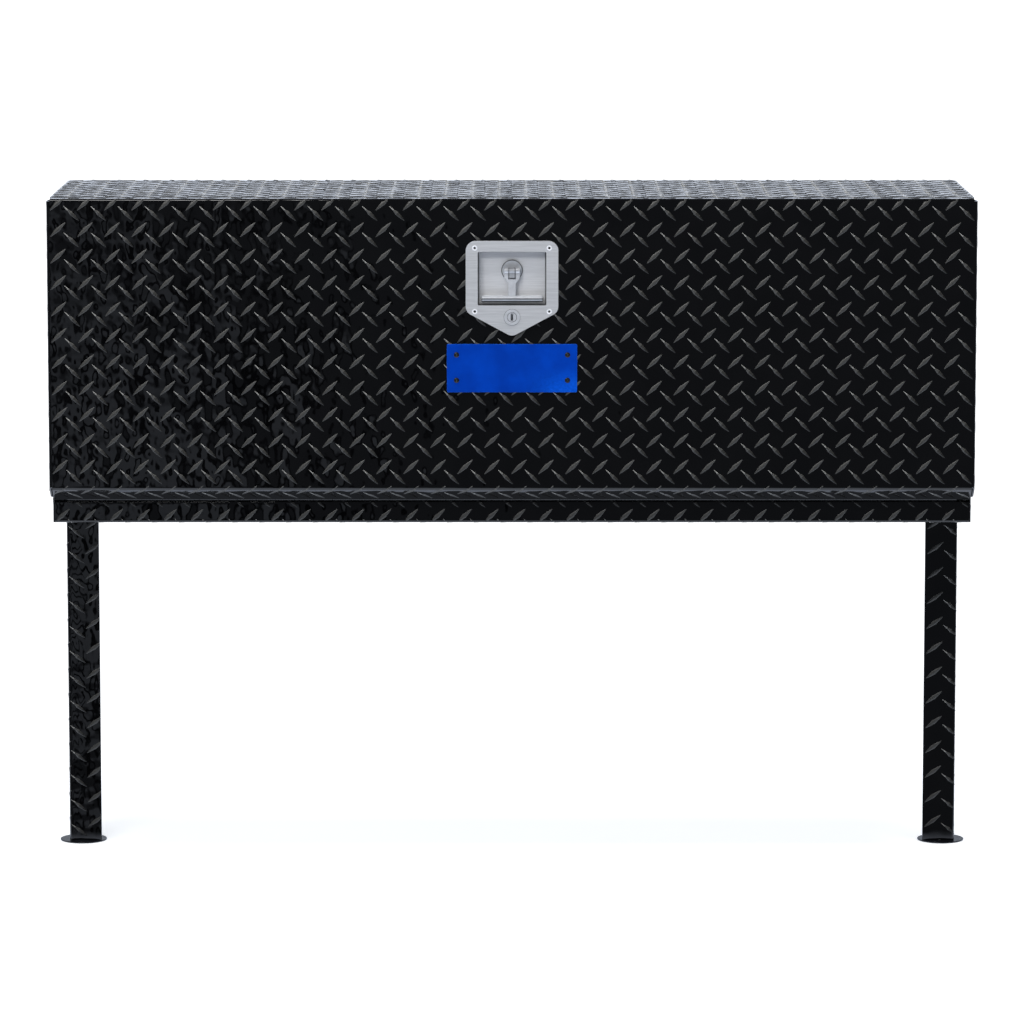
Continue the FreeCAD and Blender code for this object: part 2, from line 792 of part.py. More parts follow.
def latch_rivet_sink(place, grow):
    """Countersunk head and shank of a latch rivet, or its hole when grown."""
    start = FreeCAD.Vector(*place)
    axis = FreeCAD.Vector(0, 1, 0)
    head = Part.makeCone(rivet_head_radius + grow, rivet_radius + grow, rivet_head_height,
                         start, axis)
    return head.fuse(Part.makeCylinder(rivet_radius + grow,
                                       latch_sheet + gasket + plate, start, axis))


def latch_rivets():
    """Countersunk blind rivets at the latch plate's corners."""
    rivets = []
    grip = latch_sheet + gasket + plate
    for place in latch_rivet_places():
        x, y, z = place
        tail = rod_y(rivet_tail_radius, x, y + grip, y + grip + rivet_tail_length, z)
        bore = rod_y(mandrel_radius, x, y, y + grip, z)
        rivets.append(fused([latch_rivet_sink(place, 0), tail]).cut(bore))
    return Part.makeCompound(rivets)


def latch_gasket():
    """Rubber gasket between the latch plate and the tread."""
    outline = along_y(latch_outline(gasket), face_y - tread - gasket, face_y - tread)
    pan = pan_block(latch_sheet + fit_gap, face_y - 2 * plate, face_y)
    lock = rod_y(lock_body_radius + fit_gap, 0, face_y - 2 * plate, face_y, lock_z)
    rivets = rivet_holes(latch_rivet_places(), (0, 1, 0), plate)
    return outline.cut([pan, lock] + rivets)


def handle_hub():
    """Round hub in the pan, with the tongue that carries the handle's pin."""
    flange = rod_y(hub_radius, 0, hub_face_y, pan_floor_y, hub_z)
    neck = rod_y(hub_neck_radius, 0, hub_face_y, pan_floor_y + hub_neck_length, hub_z)
    tongue_half = fork_slot_half_width - fit_gap - loose_gap
    tongue_front = handle_y - stem_thickness / 2
    tongue_low = hub_z - fork_slot_drop + tongue_end_gap
    tongue = box(-tongue_half, tongue_half, tongue_front, pan_floor_y, tongue_low, hub_z)
    barrel = rod_x(ear_radius - loose_gap, -tongue_half, tongue_half, handle_y, hub_z)
    web = box(-tongue_half, tongue_half, handle_y, pan_floor_y, hub_z,
              hub_z + ear_radius - loose_gap)
    hub = fused([flange, neck, tongue, barrel, web])
    pin_bore = rod_x(handle_pin_radius + fit_gap / 2, -hub_radius, hub_radius, handle_y, hub_z)
    shaft_bore = rod_y(shaft_radius + fit_gap / 2, 0, pan_floor_y,
                       pan_floor_y + 2 * hub_neck_length, hub_z)
    return hub.cut([pin_bore, shaft_bore])


def hub_nut():
    """Thin nut that clamps the hub to the back of the pan."""
    nut = moved(along_y(hexagon(hub_nut_size, point_xz), 0, hub_nut_thickness), 0,
                pan_back_y, hub_z)
    return nut.cut(rod_y(hub_neck_radius + fit_gap, 0, pan_back_y - cut_over,
                         pan_back_y + hub_nut_thickness + cut_over, hub_z))


def handle_pin():
    return rod_x(handle_pin_radius, -fork_half_width, fork_half_width, handle_y, hub_z)


def t_handle():
    """Folding T-handle: fork, tapered stem and cross bar."""
    fork = rounded_outline([(-fork_half_width, hub_z, 0), (fork_half_width, hub_z, 0),
                            (fork_half_width, hub_z - stem_taper_start, 0),
                            (stem_half_width, hub_z - stem_taper_end, 0),
                            (stem_half_width, hub_z - bar_drop, 0),
                            (-stem_half_width, hub_z - bar_drop, 0),
                            (-stem_half_width, hub_z - stem_taper_end, 0),
                            (-fork_half_width, hub_z - stem_taper_start, 0)], point_xz)
    stem = along_y(fork, handle_y - stem_thickness / 2, handle_y + stem_thickness / 2)
    barrel = rod_x(ear_radius, -fork_half_width, fork_half_width, handle_y, hub_z)
    bar = rod_x(bar_radius, -bar_half_length, bar_half_length, handle_y, hub_z - bar_drop)
    bar = bar.makeFillet(bar_end_round, [edge for edge in bar.Edges if edge.Closed])
    slot = box(-fork_slot_half_width, fork_slot_half_width, handle_y - 2 * ear_radius,
               handle_y + 2 * ear_radius, hub_z - fork_slot_drop, hub_z + 2 * ear_radius)
    bore = rod_x(handle_pin_radius + fit_gap / 2, -hub_radius, hub_radius, handle_y, hub_z)
    return fused([stem, barrel]).cut([slot, bore]).fuse(bar).removeSplitter()


def latch_shaft():
    """Shaft from the hub through the door to the cam, squared where the cam sits."""
    end = cam_front_y + cam_thickness + cam_nut_thickness + washer_thickness + shaft_end_proud
    shaft = rod_y(shaft_radius, 0, pan_floor_y + loose_gap, cam_front_y, hub_z)
    tang = box(-square_half, square_half, cam_front_y, cam_front_y + cam_thickness,
               hub_z - square_half, hub_z + square_half)
    stud = rod_y(square_half - fit_gap, 0, cam_front_y, end, hub_z)
    return fused([shaft, tang, stud])


def latch_cam():
    """Flat cam, lying level in the open position."""
    outline = round_ended(0, cam_reach - cam_half_width, cam_half_width, point_xz)
    cam = along_y(moved(outline, z=hub_z), cam_front_y, cam_front_y + cam_thickness)
    square = square_half + fit_gap
    hole = box(-square, square, cam_front_y - cut_over, cam_front_y + 2 * cam_thickness,
               hub_z - square, hub_z + square)
    return cam.cut(hole)


def cam_washer():
    low = cam_front_y + cam_thickness
    ring = rod_y(cam_washer_radius, 0, low, low + washer_thickness, hub_z)
    return ring.cut(rod_y(square_half + fit_gap, 0, low - cut_over, low + plate, hub_z))


def cam_nut():
    low = cam_front_y + cam_thickness + washer_thickness
    nut = moved(along_y(hexagon(cam_nut_size, point_xz), 0, cam_nut_thickness), 0, low, hub_z)
    return nut.cut(rod_y(square_half, 0, low - cut_over, low + cam_nut_thickness + cut_over,
                         hub_z))


def shaft_bush():
    """Nylon bush in the liner that steadies the shaft."""
    outer = shaft_radius + bush_wall
    sleeve = rod_y(outer, 0, liner_front_y - bush_lead, liner_back_y, hub_z)
    rim = rod_y(outer + bush_rim, 0, liner_back_y, liner_back_y + bush_wall, hub_z)
    bore = rod_y(shaft_radius + fit_gap / 2, 0, liner_front_y - 2 * plate, liner_back_y + plate, hub_z)
    return fused([sleeve, rim]).cut(bore)


def lock_cylinder():
    """Lock body with a round head proud of the latch plate."""
    back = latch_face_y - lock_head_proud + lock_length
    head = rod_y(lock_head_radius, 0, latch_face_y - lock_head_proud, latch_face_y, lock_z)
    barrel = rod_y(lock_body_radius, 0, latch_face_y - lock_head_proud, back, lock_z)
    bore = rod_y(plug_radius + fit_gap / 2, 0, latch_face_y - plate, back + cut_over, lock_z)
    return fused([head, barrel]).cut(bore)


def lock_nut():
    low = face_y + sheet
    nut = moved(along_y(hexagon(lock_nut_size, point_xz), 0, lock_nut_thickness), 0, low, lock_z)
    return nut.cut(rod_y(lock_body_radius + fit_gap, 0, low - cut_over,
                         low + lock_nut_thickness + cut_over, lock_z))


def lock_plug():
    """Turning plug with its keyway."""
    front = latch_face_y - lock_head_proud + plug_seat
    plug = rod_y(plug_radius, 0, front, front + plug_length, lock_z)
    keyway = box(-keyway_width / 2, keyway_width / 2, front - cut_over, front + keyway_depth,
                 lock_z - keyway_height / 2, lock_z + keyway_height / 2)
    return plug.cut(keyway)


def lock_tail():
    """Tailpiece on the back of the plug, pointing sideways while unlocked."""
    low = latch_face_y - lock_head_proud + plug_seat + plug_length
    outline = round_ended(0, tail_length - tail_half_width, tail_half_width, point_xz)
    tail = along_y(moved(outline, z=lock_z), low, low + tail_thickness)
    screw = rod_y(tail_screw_radius, 0, low, low + 2 * tail_thickness, lock_z)
    return fused([tail, screw])


def badge_plate():
    """Bare badge plate."""
    top = roof_z - badge_top
    low = roof_z - badge_bottom
    outline = rounded_outline([(-badge_half_width, top, badge_corner),
                               (badge_half_width, top, badge_corner),
                               (badge_half_width, low, badge_corner),
                               (-badge_half_width, low, badge_corner)], point_xz)
    plate_solid = along_y(outline, face_y - tread - badge_thickness, face_y - tread)
    return plate_solid.cut(rivet_holes(badge_rivet_places(), (0, 1, 0), badge_thickness))


def stay_span(angle):
    """Distance between a stay's two pins when the door is open by the angle."""
    return 2 * stay_radius * math.sin(math.radians(stay_lag_angle + angle) / 2)


def right_stay():
    """Slotted flat bar, pinned to the door and sliding over the body's pin."""
    short = stay_span(0) - stay_slot_margin
    long = stay_span(stay_swing) + stay_slot_margin
    slot_radius = stay_pin_radius + stay_slot_gap
    bar = round_ended(0, long + stay_end - stay_half_width, stay_half_width, point_yz)
    slot = along_x(round_ended(short, long, slot_radius, point_yz), -plate, 2 * stay_thickness)
    pivot = rod_x(stay_pin_radius + fit_gap / 2, -plate, 2 * stay_thickness, 0, 0)
    stay = along_x(bar, 0, stay_thickness).cut([slot, pivot])
    slant = math.degrees(math.atan2(stay_body_z - stay_door_z, stay_body_y - stay_door_y))
    stay.rotate(FreeCAD.Vector(0, 0, 0), FreeCAD.Vector(1, 0, 0), slant)
    return moved(stay, stay_plane, stay_door_y, stay_door_z)


def stay_pin(y, z):
    """Shouldered pin from a bracket through a stay, with a head on each side."""
    inner = stay_plane - fit_gap
    outer = stay_bracket_x
    shank = rod_x(stay_pin_radius, inner, outer, y, z)
    head = rod_x(stay_head_radius, inner - stay_head_height, inner, y, z)
    tail = rod_x(stay_head_radius, outer, outer + stay_head_height, y, z)
    return fused([shank, head, tail])


def stay_door_pins():
    pin = stay_pin(stay_door_y, stay_door_z)
    return Part.makeCompound([pin, mirrored(pin)])


def stay_body_pins():
    pin = stay_pin(stay_body_y, stay_body_z)
    return Part.makeCompound([pin, mirrored(pin)])


def stay_door_rivet_places():
    inner_x = stay_bracket_x - bracket_foot
    x = (inner_x + stay_plane) / 2 - bracket_sheet
    return [(side * x, liner_back_y + bracket_sheet,
             stay_door_z + end * bracket_rivet_spacing / 2)
            for side in (-1, 1) for end in (-1, 1)]


def stay_door_brackets():
    """Angles on the door's liner that carry the stays' pivot pins."""
    back = stay_door_y + bracket_edge
    path = [(stay_bracket_x, back), (stay_bracket_x, liner_back_y),
            (stay_bracket_x - bracket_foot, liner_back_y)]
    section = folded(path, bracket_sheet, bracket_fold_radius, point_xy)
    low = stay_door_z - bracket_length / 2
    bracket = along_z(section, low, low + bracket_length)
    pivot = rod_x(stay_pin_radius + fit_gap, 0, 2 * stay_bracket_x, stay_door_y, stay_door_z)
    holes = rivet_holes(stay_door_rivet_places(), (0, -1, 0), bracket_sheet)
    bracket = bracket.cut([pivot] + holes)
    return Part.makeCompound([bracket, mirrored(bracket)])


def stay_bracket_rivet_places():
    """Rivet places on the outside of the right end panel."""
    z = stay_body_z - bracket_edge - bracket_sheet - bracket_foot / 2
    return [(body_width / 2 + tread, stay_body_y + end * bracket_rivet_spacing / 2, z)
            for end in (-1, 1)]


def stay_body_brackets():
    """Stepped brackets on the end panels that carry the pins the stays slide on."""
    shelf = stay_body_z - bracket_edge - bracket_sheet
    path = [(stay_bracket_x, stay_body_z + bracket_edge), (stay_bracket_x, shelf),
            (end_inner_x, shelf), (end_inner_x, shelf - bracket_foot)]
    section = folded(path, bracket_sheet, bracket_fold_radius, point_xz)
    front = stay_body_y - bracket_length / 2
    bracket = along_y(section, front, front + bracket_length)
    pivot = rod_x(stay_pin_radius + fit_gap, 0, 2 * stay_bracket_x, stay_body_y, stay_body_z)
    holes = rivet_holes(stay_bracket_rivet_places(), (-1, 0, 0), plate + bracket_sheet)
    bracket = bracket.cut([pivot] + holes)
    return Part.makeCompound([bracket, mirrored(bracket)])


def rivet_group(places, towards, grip):
    return Part.makeCompound([blind_rivet(place, towards, grip) for place in places])


def stay_bracket_rivets():
    """Rivets that hold the stepped brackets to the end panels."""
    right = rivet_group(stay_bracket_rivet_places(), (-1, 0, 0), plate + bracket_sheet)
    return Part.makeCompound([right, mirrored(right)])


parts = {
    "body_shell": body_shell(),
    "right_end_panel": right_end_panel(),
    "left_end_panel": mirrored(right_end_panel()),
    "weather_strip": weather_strip(),
    "strike_plate": strike_plate(),
    "strike_rivets": rivet_group(strike_rivet_places(), (0, 1, 0), plate + strike_sheet),
    "hinge_body_leaf": hinge_body_leaf(),
    "hinge_door_leaf": hinge_door_leaf(),
    "hinge_pin": hinge_pin(),
    "hinge_body_rivets": rivet_group(hinge_body_rivet_places(), (0, 0, -1), hinge_leaf + plate),
    "hinge_door_rivets": rivet_group(hinge_door_rivet_places(), (0, -1, 0),
                                     hinge_leaf + liner_sheet),
    "right_leg": right_leg(),
    "left_leg": mirrored(right_leg()),
    "right_leg_cap": right_leg_cap(),
    "left_leg_cap": mirrored(right_leg_cap()),
    "right_foot": right_foot(),
    "left_foot": mirrored(right_foot()),
    "leg_bolts": leg_bolts(),
    "leg_washers": leg_washers(),
    "leg_nuts": leg_nuts(),
    "wire_plugs": wire_plugs(),
    "stay_body_brackets": stay_body_brackets(),
    "stay_body_pins": stay_body_pins(),
    "stay_bracket_rivets": stay_bracket_rivets(),
    "door_skin": door_skin(),
    "door_liner": door_liner(),
    "door_stiffeners": door_stiffeners(),
    "liner_rivets": rivet_group(liner_rivet_places(), (0, -1, 0), liner_sheet + plate),
    "latch_plate": latch_plate(),
    "latch_gasket": latch_gasket(),
    "latch_rivets": latch_rivets(),
    "handle_hub": handle_hub(),
    "hub_nut": hub_nut(),
    "handle_pin": handle_pin(),
    "t_handle": t_handle(),
    "latch_shaft": latch_shaft(),
    "latch_cam": latch_cam(),
    "cam_washer": cam_washer(),
    "cam_nut": cam_nut(),
    "shaft_bush": shaft_bush(),
    "lock_cylinder": lock_cylinder(),
    "lock_nut": lock_nut(),
    "lock_plug": lock_plug(),
    "lock_tail": lock_tail(),
    "badge_plate": badge_plate(),
    "badge_rivets": rivet_group(badge_rivet_places(), (0, 1, 0), badge_thickness + plate),
    "stay_door_brackets": stay_door_brackets(),
    "stay_door_pins": stay_door_pins(),
    "stay_door_rivets": rivet_group(stay_door_rivet_places(), (0, -1, 0),
                                    bracket_sheet + liner_sheet),
    "right_stay": right_stay(),
    "left_stay": mirrored(right_stay()),
}

os.makedirs("parts", exist_ok=True)
for name, shape in parts.items():
    shape.exportStep("parts/" + name + ".step")
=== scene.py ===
import math

import bmesh
import bpy
from mathutils import Matrix, Vector


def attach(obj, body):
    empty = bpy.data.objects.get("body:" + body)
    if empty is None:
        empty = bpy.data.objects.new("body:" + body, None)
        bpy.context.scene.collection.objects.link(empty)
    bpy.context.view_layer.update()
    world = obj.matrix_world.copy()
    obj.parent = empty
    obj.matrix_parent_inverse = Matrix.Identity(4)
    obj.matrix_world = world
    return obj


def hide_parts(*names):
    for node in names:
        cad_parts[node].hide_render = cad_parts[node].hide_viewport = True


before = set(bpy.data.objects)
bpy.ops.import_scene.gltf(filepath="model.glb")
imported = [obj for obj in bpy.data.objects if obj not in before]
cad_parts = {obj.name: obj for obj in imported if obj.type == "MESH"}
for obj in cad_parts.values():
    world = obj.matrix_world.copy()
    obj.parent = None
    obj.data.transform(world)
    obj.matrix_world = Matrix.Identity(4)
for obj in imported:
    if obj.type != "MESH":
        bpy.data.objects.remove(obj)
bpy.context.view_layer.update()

# Body shell: one sheet of aluminium tread plate, folded into the front lip, roof, back, floor,
# front rail and sill, with its holes cut before it is coated black. The lugs are rolled into the
# sheet as pointed domes that lean right and left by turns. Their coat is painted paler as rubbed
# wear, and one tip of each falling lug is painted paler still as a highlight.
mm = 0.001
tread_rise = 0.65
lug_length = 29.5 * mm
lug_width = 6.6 * mm
lug_height = 0.6 * mm
lug_root = 0.15 * mm
lug_lean = math.radians(43.5)
rising_widths = [0.3, 0.66, 1.0, 0.66, 0.3]
falling_widths = [0.3, 0.66, 0.86, 0.32, 0.16]
# Paler coat on each lug, tip to tip: rubbed wear, and on the falling lugs a painted highlight at
# one tip.
rising_rub = [0.11, 0.12, 0.14, 0.15, 0.17, 0.17]
falling_rub_and_highlight = [0.0, 0.02, 0.07, 0.2, 0.85, 1.0]


def lug_block(name, lean, widths, rub_and_highlight_shares):
    """One lug as a closed block, lying along the given lean, with how much paler its coat is
    painted on each face, as rubbed wear and as a painted highlight.
    """
    form = bmesh.new()
    rub_and_highlight = form.faces.layers.float.new("rub_and_highlight")
    stations = [-0.84, -0.44, 0.0, 0.44, 0.84]
    heights = [0.6, 0.94, 1.0, 0.94, 0.6]
    across = [-1.0, -0.5, 0.0, 0.5, 1.0]
    rise = [0.0, 0.82, 1.0, 0.82, 0.0]
    along = Matrix.Rotation(lean, 4, "Z")

    def corner(length_share, width_share, height):
        place = Vector((length_share * lug_length / 2, width_share * lug_width / 2, height))
        return form.verts.new(along @ place)

    def face(corners, amount):
        form.faces.new(corners)[rub_and_highlight] = amount

    rows = []
    for station, width, height in zip(stations, widths, heights):
        rows.append([corner(station, width * side, lug_height * height * up if up else -lug_root)
                     for side, up in zip(across, rise)])
    start = corner(-1, 0, -lug_root)
    end = corner(1, 0, -lug_root)
    for low, high, amount in zip(rows, rows[1:], rub_and_highlight_shares[1:-1]):
        for index in range(len(across) - 1):
            face((low[index], high[index], high[index + 1], low[index + 1]), amount)
    for index in range(len(across) - 1):
        face((start, rows[0][index], rows[0][index + 1]), rub_and_highlight_shares[0])
        face((end, rows[-1][index + 1], rows[-1][index]), rub_and_highlight_shares[-1])
    face([start] + [row[-1] for row in rows] + [end] + [row[0] for row in rows[::-1]], 0.0)
    bmesh.ops.recalc_face_normals(form, faces=form.faces)
    mesh = bpy.data.meshes.new(name)
    form.to_mesh(mesh)
    form.free()
    return bpy.data.objects.new(name, mesh)


rising_lug = lug_block("rising_lug", lug_lean, rising_widths, rising_rub)
falling_lug = lug_block("falling_lug", math.pi - lug_lean, falling_widths, falling_rub_and_highlight)


def add_node(tree, kind, inputs=(), **settings):
    """A node in a tree, with its settings made and its inputs linked or set."""
    made = tree.nodes.new(kind)
    for key, value in settings.items():
        setattr(made, key, value)
    for key, value in dict(inputs).items():
        socket = made.inputs[key]
        if isinstance(value, bpy.types.NodeSocket):
            tree.links.new(value, socket)
        else:
            socket.default_value = value
    return made


def tread_tree():
    """Folded sheet with lugs, made along a section curve that is drawn flat."""
    tree = bpy.data.node_groups.new("tread_plate", "GeometryNodeTree")
    tree.interface.new_socket("Section", in_out="INPUT", socket_type="NodeSocketGeometry")
    for name in ("Thickness", "Low end", "High end", "Column pitch", "Row pitch",
                 "First column", "First row", "Falling column", "Falling row"):
        tree.interface.new_socket(name, in_out="INPUT", socket_type="NodeSocketFloat")
    for name in ("Columns", "Rows"):
        tree.interface.new_socket(name, in_out="INPUT", socket_type="NodeSocketInt")
    for name in ("Rising lug", "Falling lug", "Trim shape"):
        tree.interface.new_socket(name, in_out="INPUT", socket_type="NodeSocketObject")
    for name in ("Sheet coat", "Lug coat"):
        tree.interface.new_socket(name, in_out="INPUT", socket_type="NodeSocketMaterial")
    tree.interface.new_socket("Plate", in_out="OUTPUT", socket_type="NodeSocketGeometry")
    links = tree.links
    given = tree.nodes.new("NodeGroupInput").outputs

    def node(kind, inputs=(), **settings):
        return add_node(tree, kind, inputs, **settings)

    def sum_of(first, second, operation="ADD"):
        return node("ShaderNodeMath", {0: first, 1: second}, operation=operation).outputs[0]

    fold_radius = node("GeometryNodeInputRadius")
    fillet = node("GeometryNodeFilletCurve", {"Curve": given["Section"], "Count": 7,
                                              "Radius": fold_radius.outputs[0]}, mode="POLY")
    line = node("GeometryNodeCurveToMesh", {"Curve": fillet.outputs[0]})
    reach = node("ShaderNodeCombineXYZ",
                 {"Z": sum_of(given["High end"], given["Low end"], "SUBTRACT")})
    wall = node("GeometryNodeExtrudeMesh", {"Mesh": line.outputs[0], "Offset": reach.outputs[0],
                                            "Offset Scale": 1.0}, mode="EDGES")
    start = node("ShaderNodeCombineXYZ", {"Z": given["Low end"]})
    skin = node("GeometryNodeSetPosition", {"Geometry": wall.outputs[0],
                                            "Offset": start.outputs[0]})
    turned = node("GeometryNodeFlipFaces", {"Mesh": skin.outputs[0]})
    thick = node("GeometryNodeExtrudeMesh", {"Mesh": skin.outputs[0], "Individual": False,
                                             "Offset Scale": given["Thickness"]}, mode="FACES")
    faces = node("GeometryNodeJoinGeometry", {"Geometry": turned.outputs[0]})
    links.new(thick.outputs[0], faces.inputs[0])
    closed = node("GeometryNodeMergeByDistance", {"Geometry": faces.outputs[0], "Distance": 1e-6})
    sheet = node("GeometryNodeFlipFaces", {"Mesh": closed.outputs[0]})
    patterns = node("GeometryNodeJoinGeometry")
    for lug, column, row in (("Rising lug", None, None),
                             ("Falling lug", "Falling column", "Falling row")):
        width = sum_of(sum_of(given["Columns"], 1.0, "SUBTRACT"), given["Column pitch"], "MULTIPLY")
        height = sum_of(sum_of(given["Rows"], 1.0, "SUBTRACT"), given["Row pitch"], "MULTIPLY")
        grid = node("GeometryNodeMeshGrid", {"Size X": width, "Size Y": height,
                                             "Vertices X": given["Columns"],
                                             "Vertices Y": given["Rows"]})
        x = sum_of(given["First column"], sum_of(width, 0.5, "MULTIPLY"))
        y = sum_of(given["First row"], sum_of(height, 0.5, "MULTIPLY"))
        if column:
            x = sum_of(x, given[column])
            y = sum_of(y, given[row])
        place = node("ShaderNodeCombineXYZ", {"X": x, "Y": y})
        set_out = node("GeometryNodeSetPosition", {"Geometry": grid.outputs[0],
                                                   "Offset": place.outputs[0]})
        source = node("GeometryNodeObjectInfo", {"Object": given[lug]}, transform_space="ORIGINAL")
        copies = node("GeometryNodeInstanceOnPoints", {"Points": set_out.outputs[0],
                                                       "Instance": source.outputs["Geometry"]})
        links.new(copies.outputs[0], patterns.inputs[0])
    lugs = node("GeometryNodeRealizeInstances", {"Geometry": patterns.outputs[0]})
    flat = node("ShaderNodeSeparateXYZ", {0: node("GeometryNodeInputPosition").outputs[0]})
    on_curve = node("GeometryNodeSampleCurve", {"Curves": fillet.outputs[0],
                                                "Length": flat.outputs["Y"]},
                    mode="LENGTH", use_all_curves=True)
    outward = node("ShaderNodeVectorMath", {0: (0.0, 0.0, 1.0), 1: on_curve.outputs["Tangent"]},
                   operation="CROSS_PRODUCT")
    raised = node("ShaderNodeVectorMath", {0: outward.outputs[0], "Scale": flat.outputs["Z"]},
                  operation="SCALE")
    base = node("ShaderNodeVectorMath", {0: on_curve.outputs["Position"], 1: raised.outputs[0]},
                operation="ADD")
    side = node("ShaderNodeCombineXYZ", {"Z": flat.outputs["X"]})
    target = node("ShaderNodeVectorMath", {0: base.outputs[0], 1: side.outputs[0]}, operation="ADD")
    bent = node("GeometryNodeSetPosition", {"Geometry": lugs.outputs[0],
                                            "Position": target.outputs[0]})
    marked = node("GeometryNodeStoreNamedAttribute",
                  {"Geometry": bent.outputs[0], "Name": "lug", "Value": True},
                  data_type="BOOLEAN", domain="FACE")
    union = node("GeometryNodeMeshBoolean", operation="UNION", solver="MANIFOLD")
    links.new(sheet.outputs[0], union.inputs["Mesh 2"])
    links.new(marked.outputs[0], union.inputs["Mesh 2"])
    shape = node("GeometryNodeObjectInfo", {"Object": given["Trim shape"]},
                 transform_space="ORIGINAL")
    trimmed = node("GeometryNodeMeshBoolean", operation="INTERSECT", solver="MANIFOLD")
    links.new(union.outputs[0], trimmed.inputs["Mesh 2"])
    links.new(shape.outputs["Geometry"], trimmed.inputs["Mesh 2"])
    real = node("GeometryNodeRealizeInstances", {"Geometry": trimmed.outputs[0]})
    sheet_coated = node("GeometryNodeSetMaterial", {"Geometry": real.outputs[0],
                                                    "Material": given["Sheet coat"]})
    is_lug = node("GeometryNodeInputNamedAttribute", {"Name": "lug"}, data_type="BOOLEAN")
    finished = node("GeometryNodeSetMaterial", {"Geometry": sheet_coated.outputs[0],
                                                "Selection": is_lug.outputs[0],
                                                "Material": given["Lug coat"]})
    node("NodeGroupOutput", {0: finished.outputs[0]})
    return tree


def surface(name, dark, pale, patch, rough, metallic=0.0, bumps=(), stretch=(1, 1, 1)):
    """A finish with two colours in soft patches, an uneven gloss and bumps of the given sizes."""
    made = bpy.data.materials.new(name)
    made.use_nodes = True
    tree = made.node_tree
    shader = tree.nodes["Principled BSDF"]
    shader.inputs["Metallic"].default_value = metallic
    place = add_node(tree, "ShaderNodeTexCoord")
    spread = add_node(tree, "ShaderNodeMapping",
                      {"Vector": place.outputs["Object"], "Scale": stretch})

    def noise(size, detail):
        return add_node(tree, "ShaderNodeTexNoise", {
            "Vector": spread.outputs["Vector"], "Scale": 1 / size, "Detail": detail}).outputs[0]

    shades = add_node(tree, "ShaderNodeValToRGB", {"Fac": noise(patch, 4)})
    for element, position, colour in zip(shades.color_ramp.elements, (0.35, 0.65), (dark, pale)):
        element.position = position
        element.color = (*colour, 1)
    tree.links.new(shades.outputs["Color"], shader.inputs["Base Color"])
    gloss = add_node(tree, "ShaderNodeMapRange", {
        "Value": noise(patch * 0.6, 3), "From Min": 0.3, "From Max": 0.7,
        "To Min": rough[0], "To Max": rough[1]})
    tree.links.new(gloss.outputs[0], shader.inputs["Roughness"])
    last = None
    for size, height in bumps:
        bump = add_node(tree, "ShaderNodeBump", {"Distance": height, "Height": noise(size, 0.3)})
        if last:
            tree.links.new(last.outputs["Normal"], bump.inputs["Normal"])
        last = bump
    if last:
        tree.links.new(last.outputs["Normal"], shader.inputs["Normal"])
    return made


def srgb(red, green, blue):
    """A colour given as it looks on a screen, from 0 to 255, made linear."""
    return tuple((c / 255 / 12.92) if c <= 10 else ((c / 255 + 0.055) / 1.055) ** 2.4
                 for c in (red, green, blue))


def wavier_on_top(coat, extra, top_rough):
    """The wide roof is wavier than the folded sides: where a coat faces up, its bumps count more
    and its gloss is an even one."""
    tree = coat.node_tree
    facing = add_node(tree, "ShaderNodeNewGeometry")
    axes = add_node(tree, "ShaderNodeSeparateXYZ", {0: facing.outputs["True Normal"]})
    upward = add_node(tree, "ShaderNodeMapRange", {"Value": axes.outputs["Z"], "From Min": 0.8,
                                                   "From Max": 0.94}).outputs[0]
    for bump in [node for node in tree.nodes if node.type == "BUMP"]:
        height = bump.inputs["Distance"].default_value
        raised = add_node(tree, "ShaderNodeMath", {0: upward, 1: height * (extra - 1), 2: height},
                          operation="MULTIPLY_ADD")
        tree.links.new(raised.outputs[0], bump.inputs["Distance"])
    rough = tree.nodes["Principled BSDF"].inputs["Roughness"]
    duller = add_node(tree, "ShaderNodeMix", {"Factor": upward, "A": rough.links[0].from_socket,
                                              "B": top_rough})
    tree.links.new(duller.outputs["Result"], rough)


def blend_into_base(coat, blend, amount, other):
    """Blends another colour or level into a coat's own colour."""
    tree = coat.node_tree
    base = tree.nodes["Principled BSDF"].inputs["Base Color"]
    mixed = add_node(tree, "ShaderNodeMix", {"Factor": amount, "A": base.links[0].from_socket,
                                             "B": other}, data_type="RGBA", blend_type=blend)
    tree.links.new(mixed.outputs["Result"], base)


def paint_rub_and_highlight(coat, pale):
    """Mixes a paler colour into a coat by each face's share, as rubbed wear and as a painted
    highlight.
    """
    amount = add_node(coat.node_tree, "ShaderNodeAttribute", attribute_name="rub_and_highlight")
    blend_into_base(coat, "MIX", amount.outputs["Fac"], (*pale, 1))


sheet_coat = surface("black_coat", srgb(5, 5, 6), srgb(8, 8, 9), 0.05, (0.015, 0.05),
                     bumps=((0.0135, 0.0003), (0.05, 0.0008)))
wavier_on_top(sheet_coat, 4.0, 0.1)
lug_coat = surface("black_coat_on_lugs", srgb(12, 11, 9), srgb(25, 24, 21), 0.0016, (0.34, 0.5),
                   bumps=((0.0014, 0.00004), (0.0135, 0.0001)))
wavier_on_top(lug_coat, 12.0, 0.1)
# The pale colour: rubbed wear on the lugs, and a painted highlight at the falling lugs' tips.
paint_rub_and_highlight(lug_coat, srgb(152, 151, 146))


def merged_copy(node_name, place=Matrix.Identity(4)):
    """A closed copy of a solid, moved by the inverse of the given place."""
    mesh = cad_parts[node_name].data.copy()
    mesh.transform(place.inverted())
    form = bmesh.new()
    form.from_mesh(mesh)
    bmesh.ops.remove_doubles(form, verts=form.verts, dist=2e-6)
    form.to_mesh(mesh)
    form.free()
    mesh.materials.clear()
    return bpy.data.objects.new(node_name + "_trim", mesh)


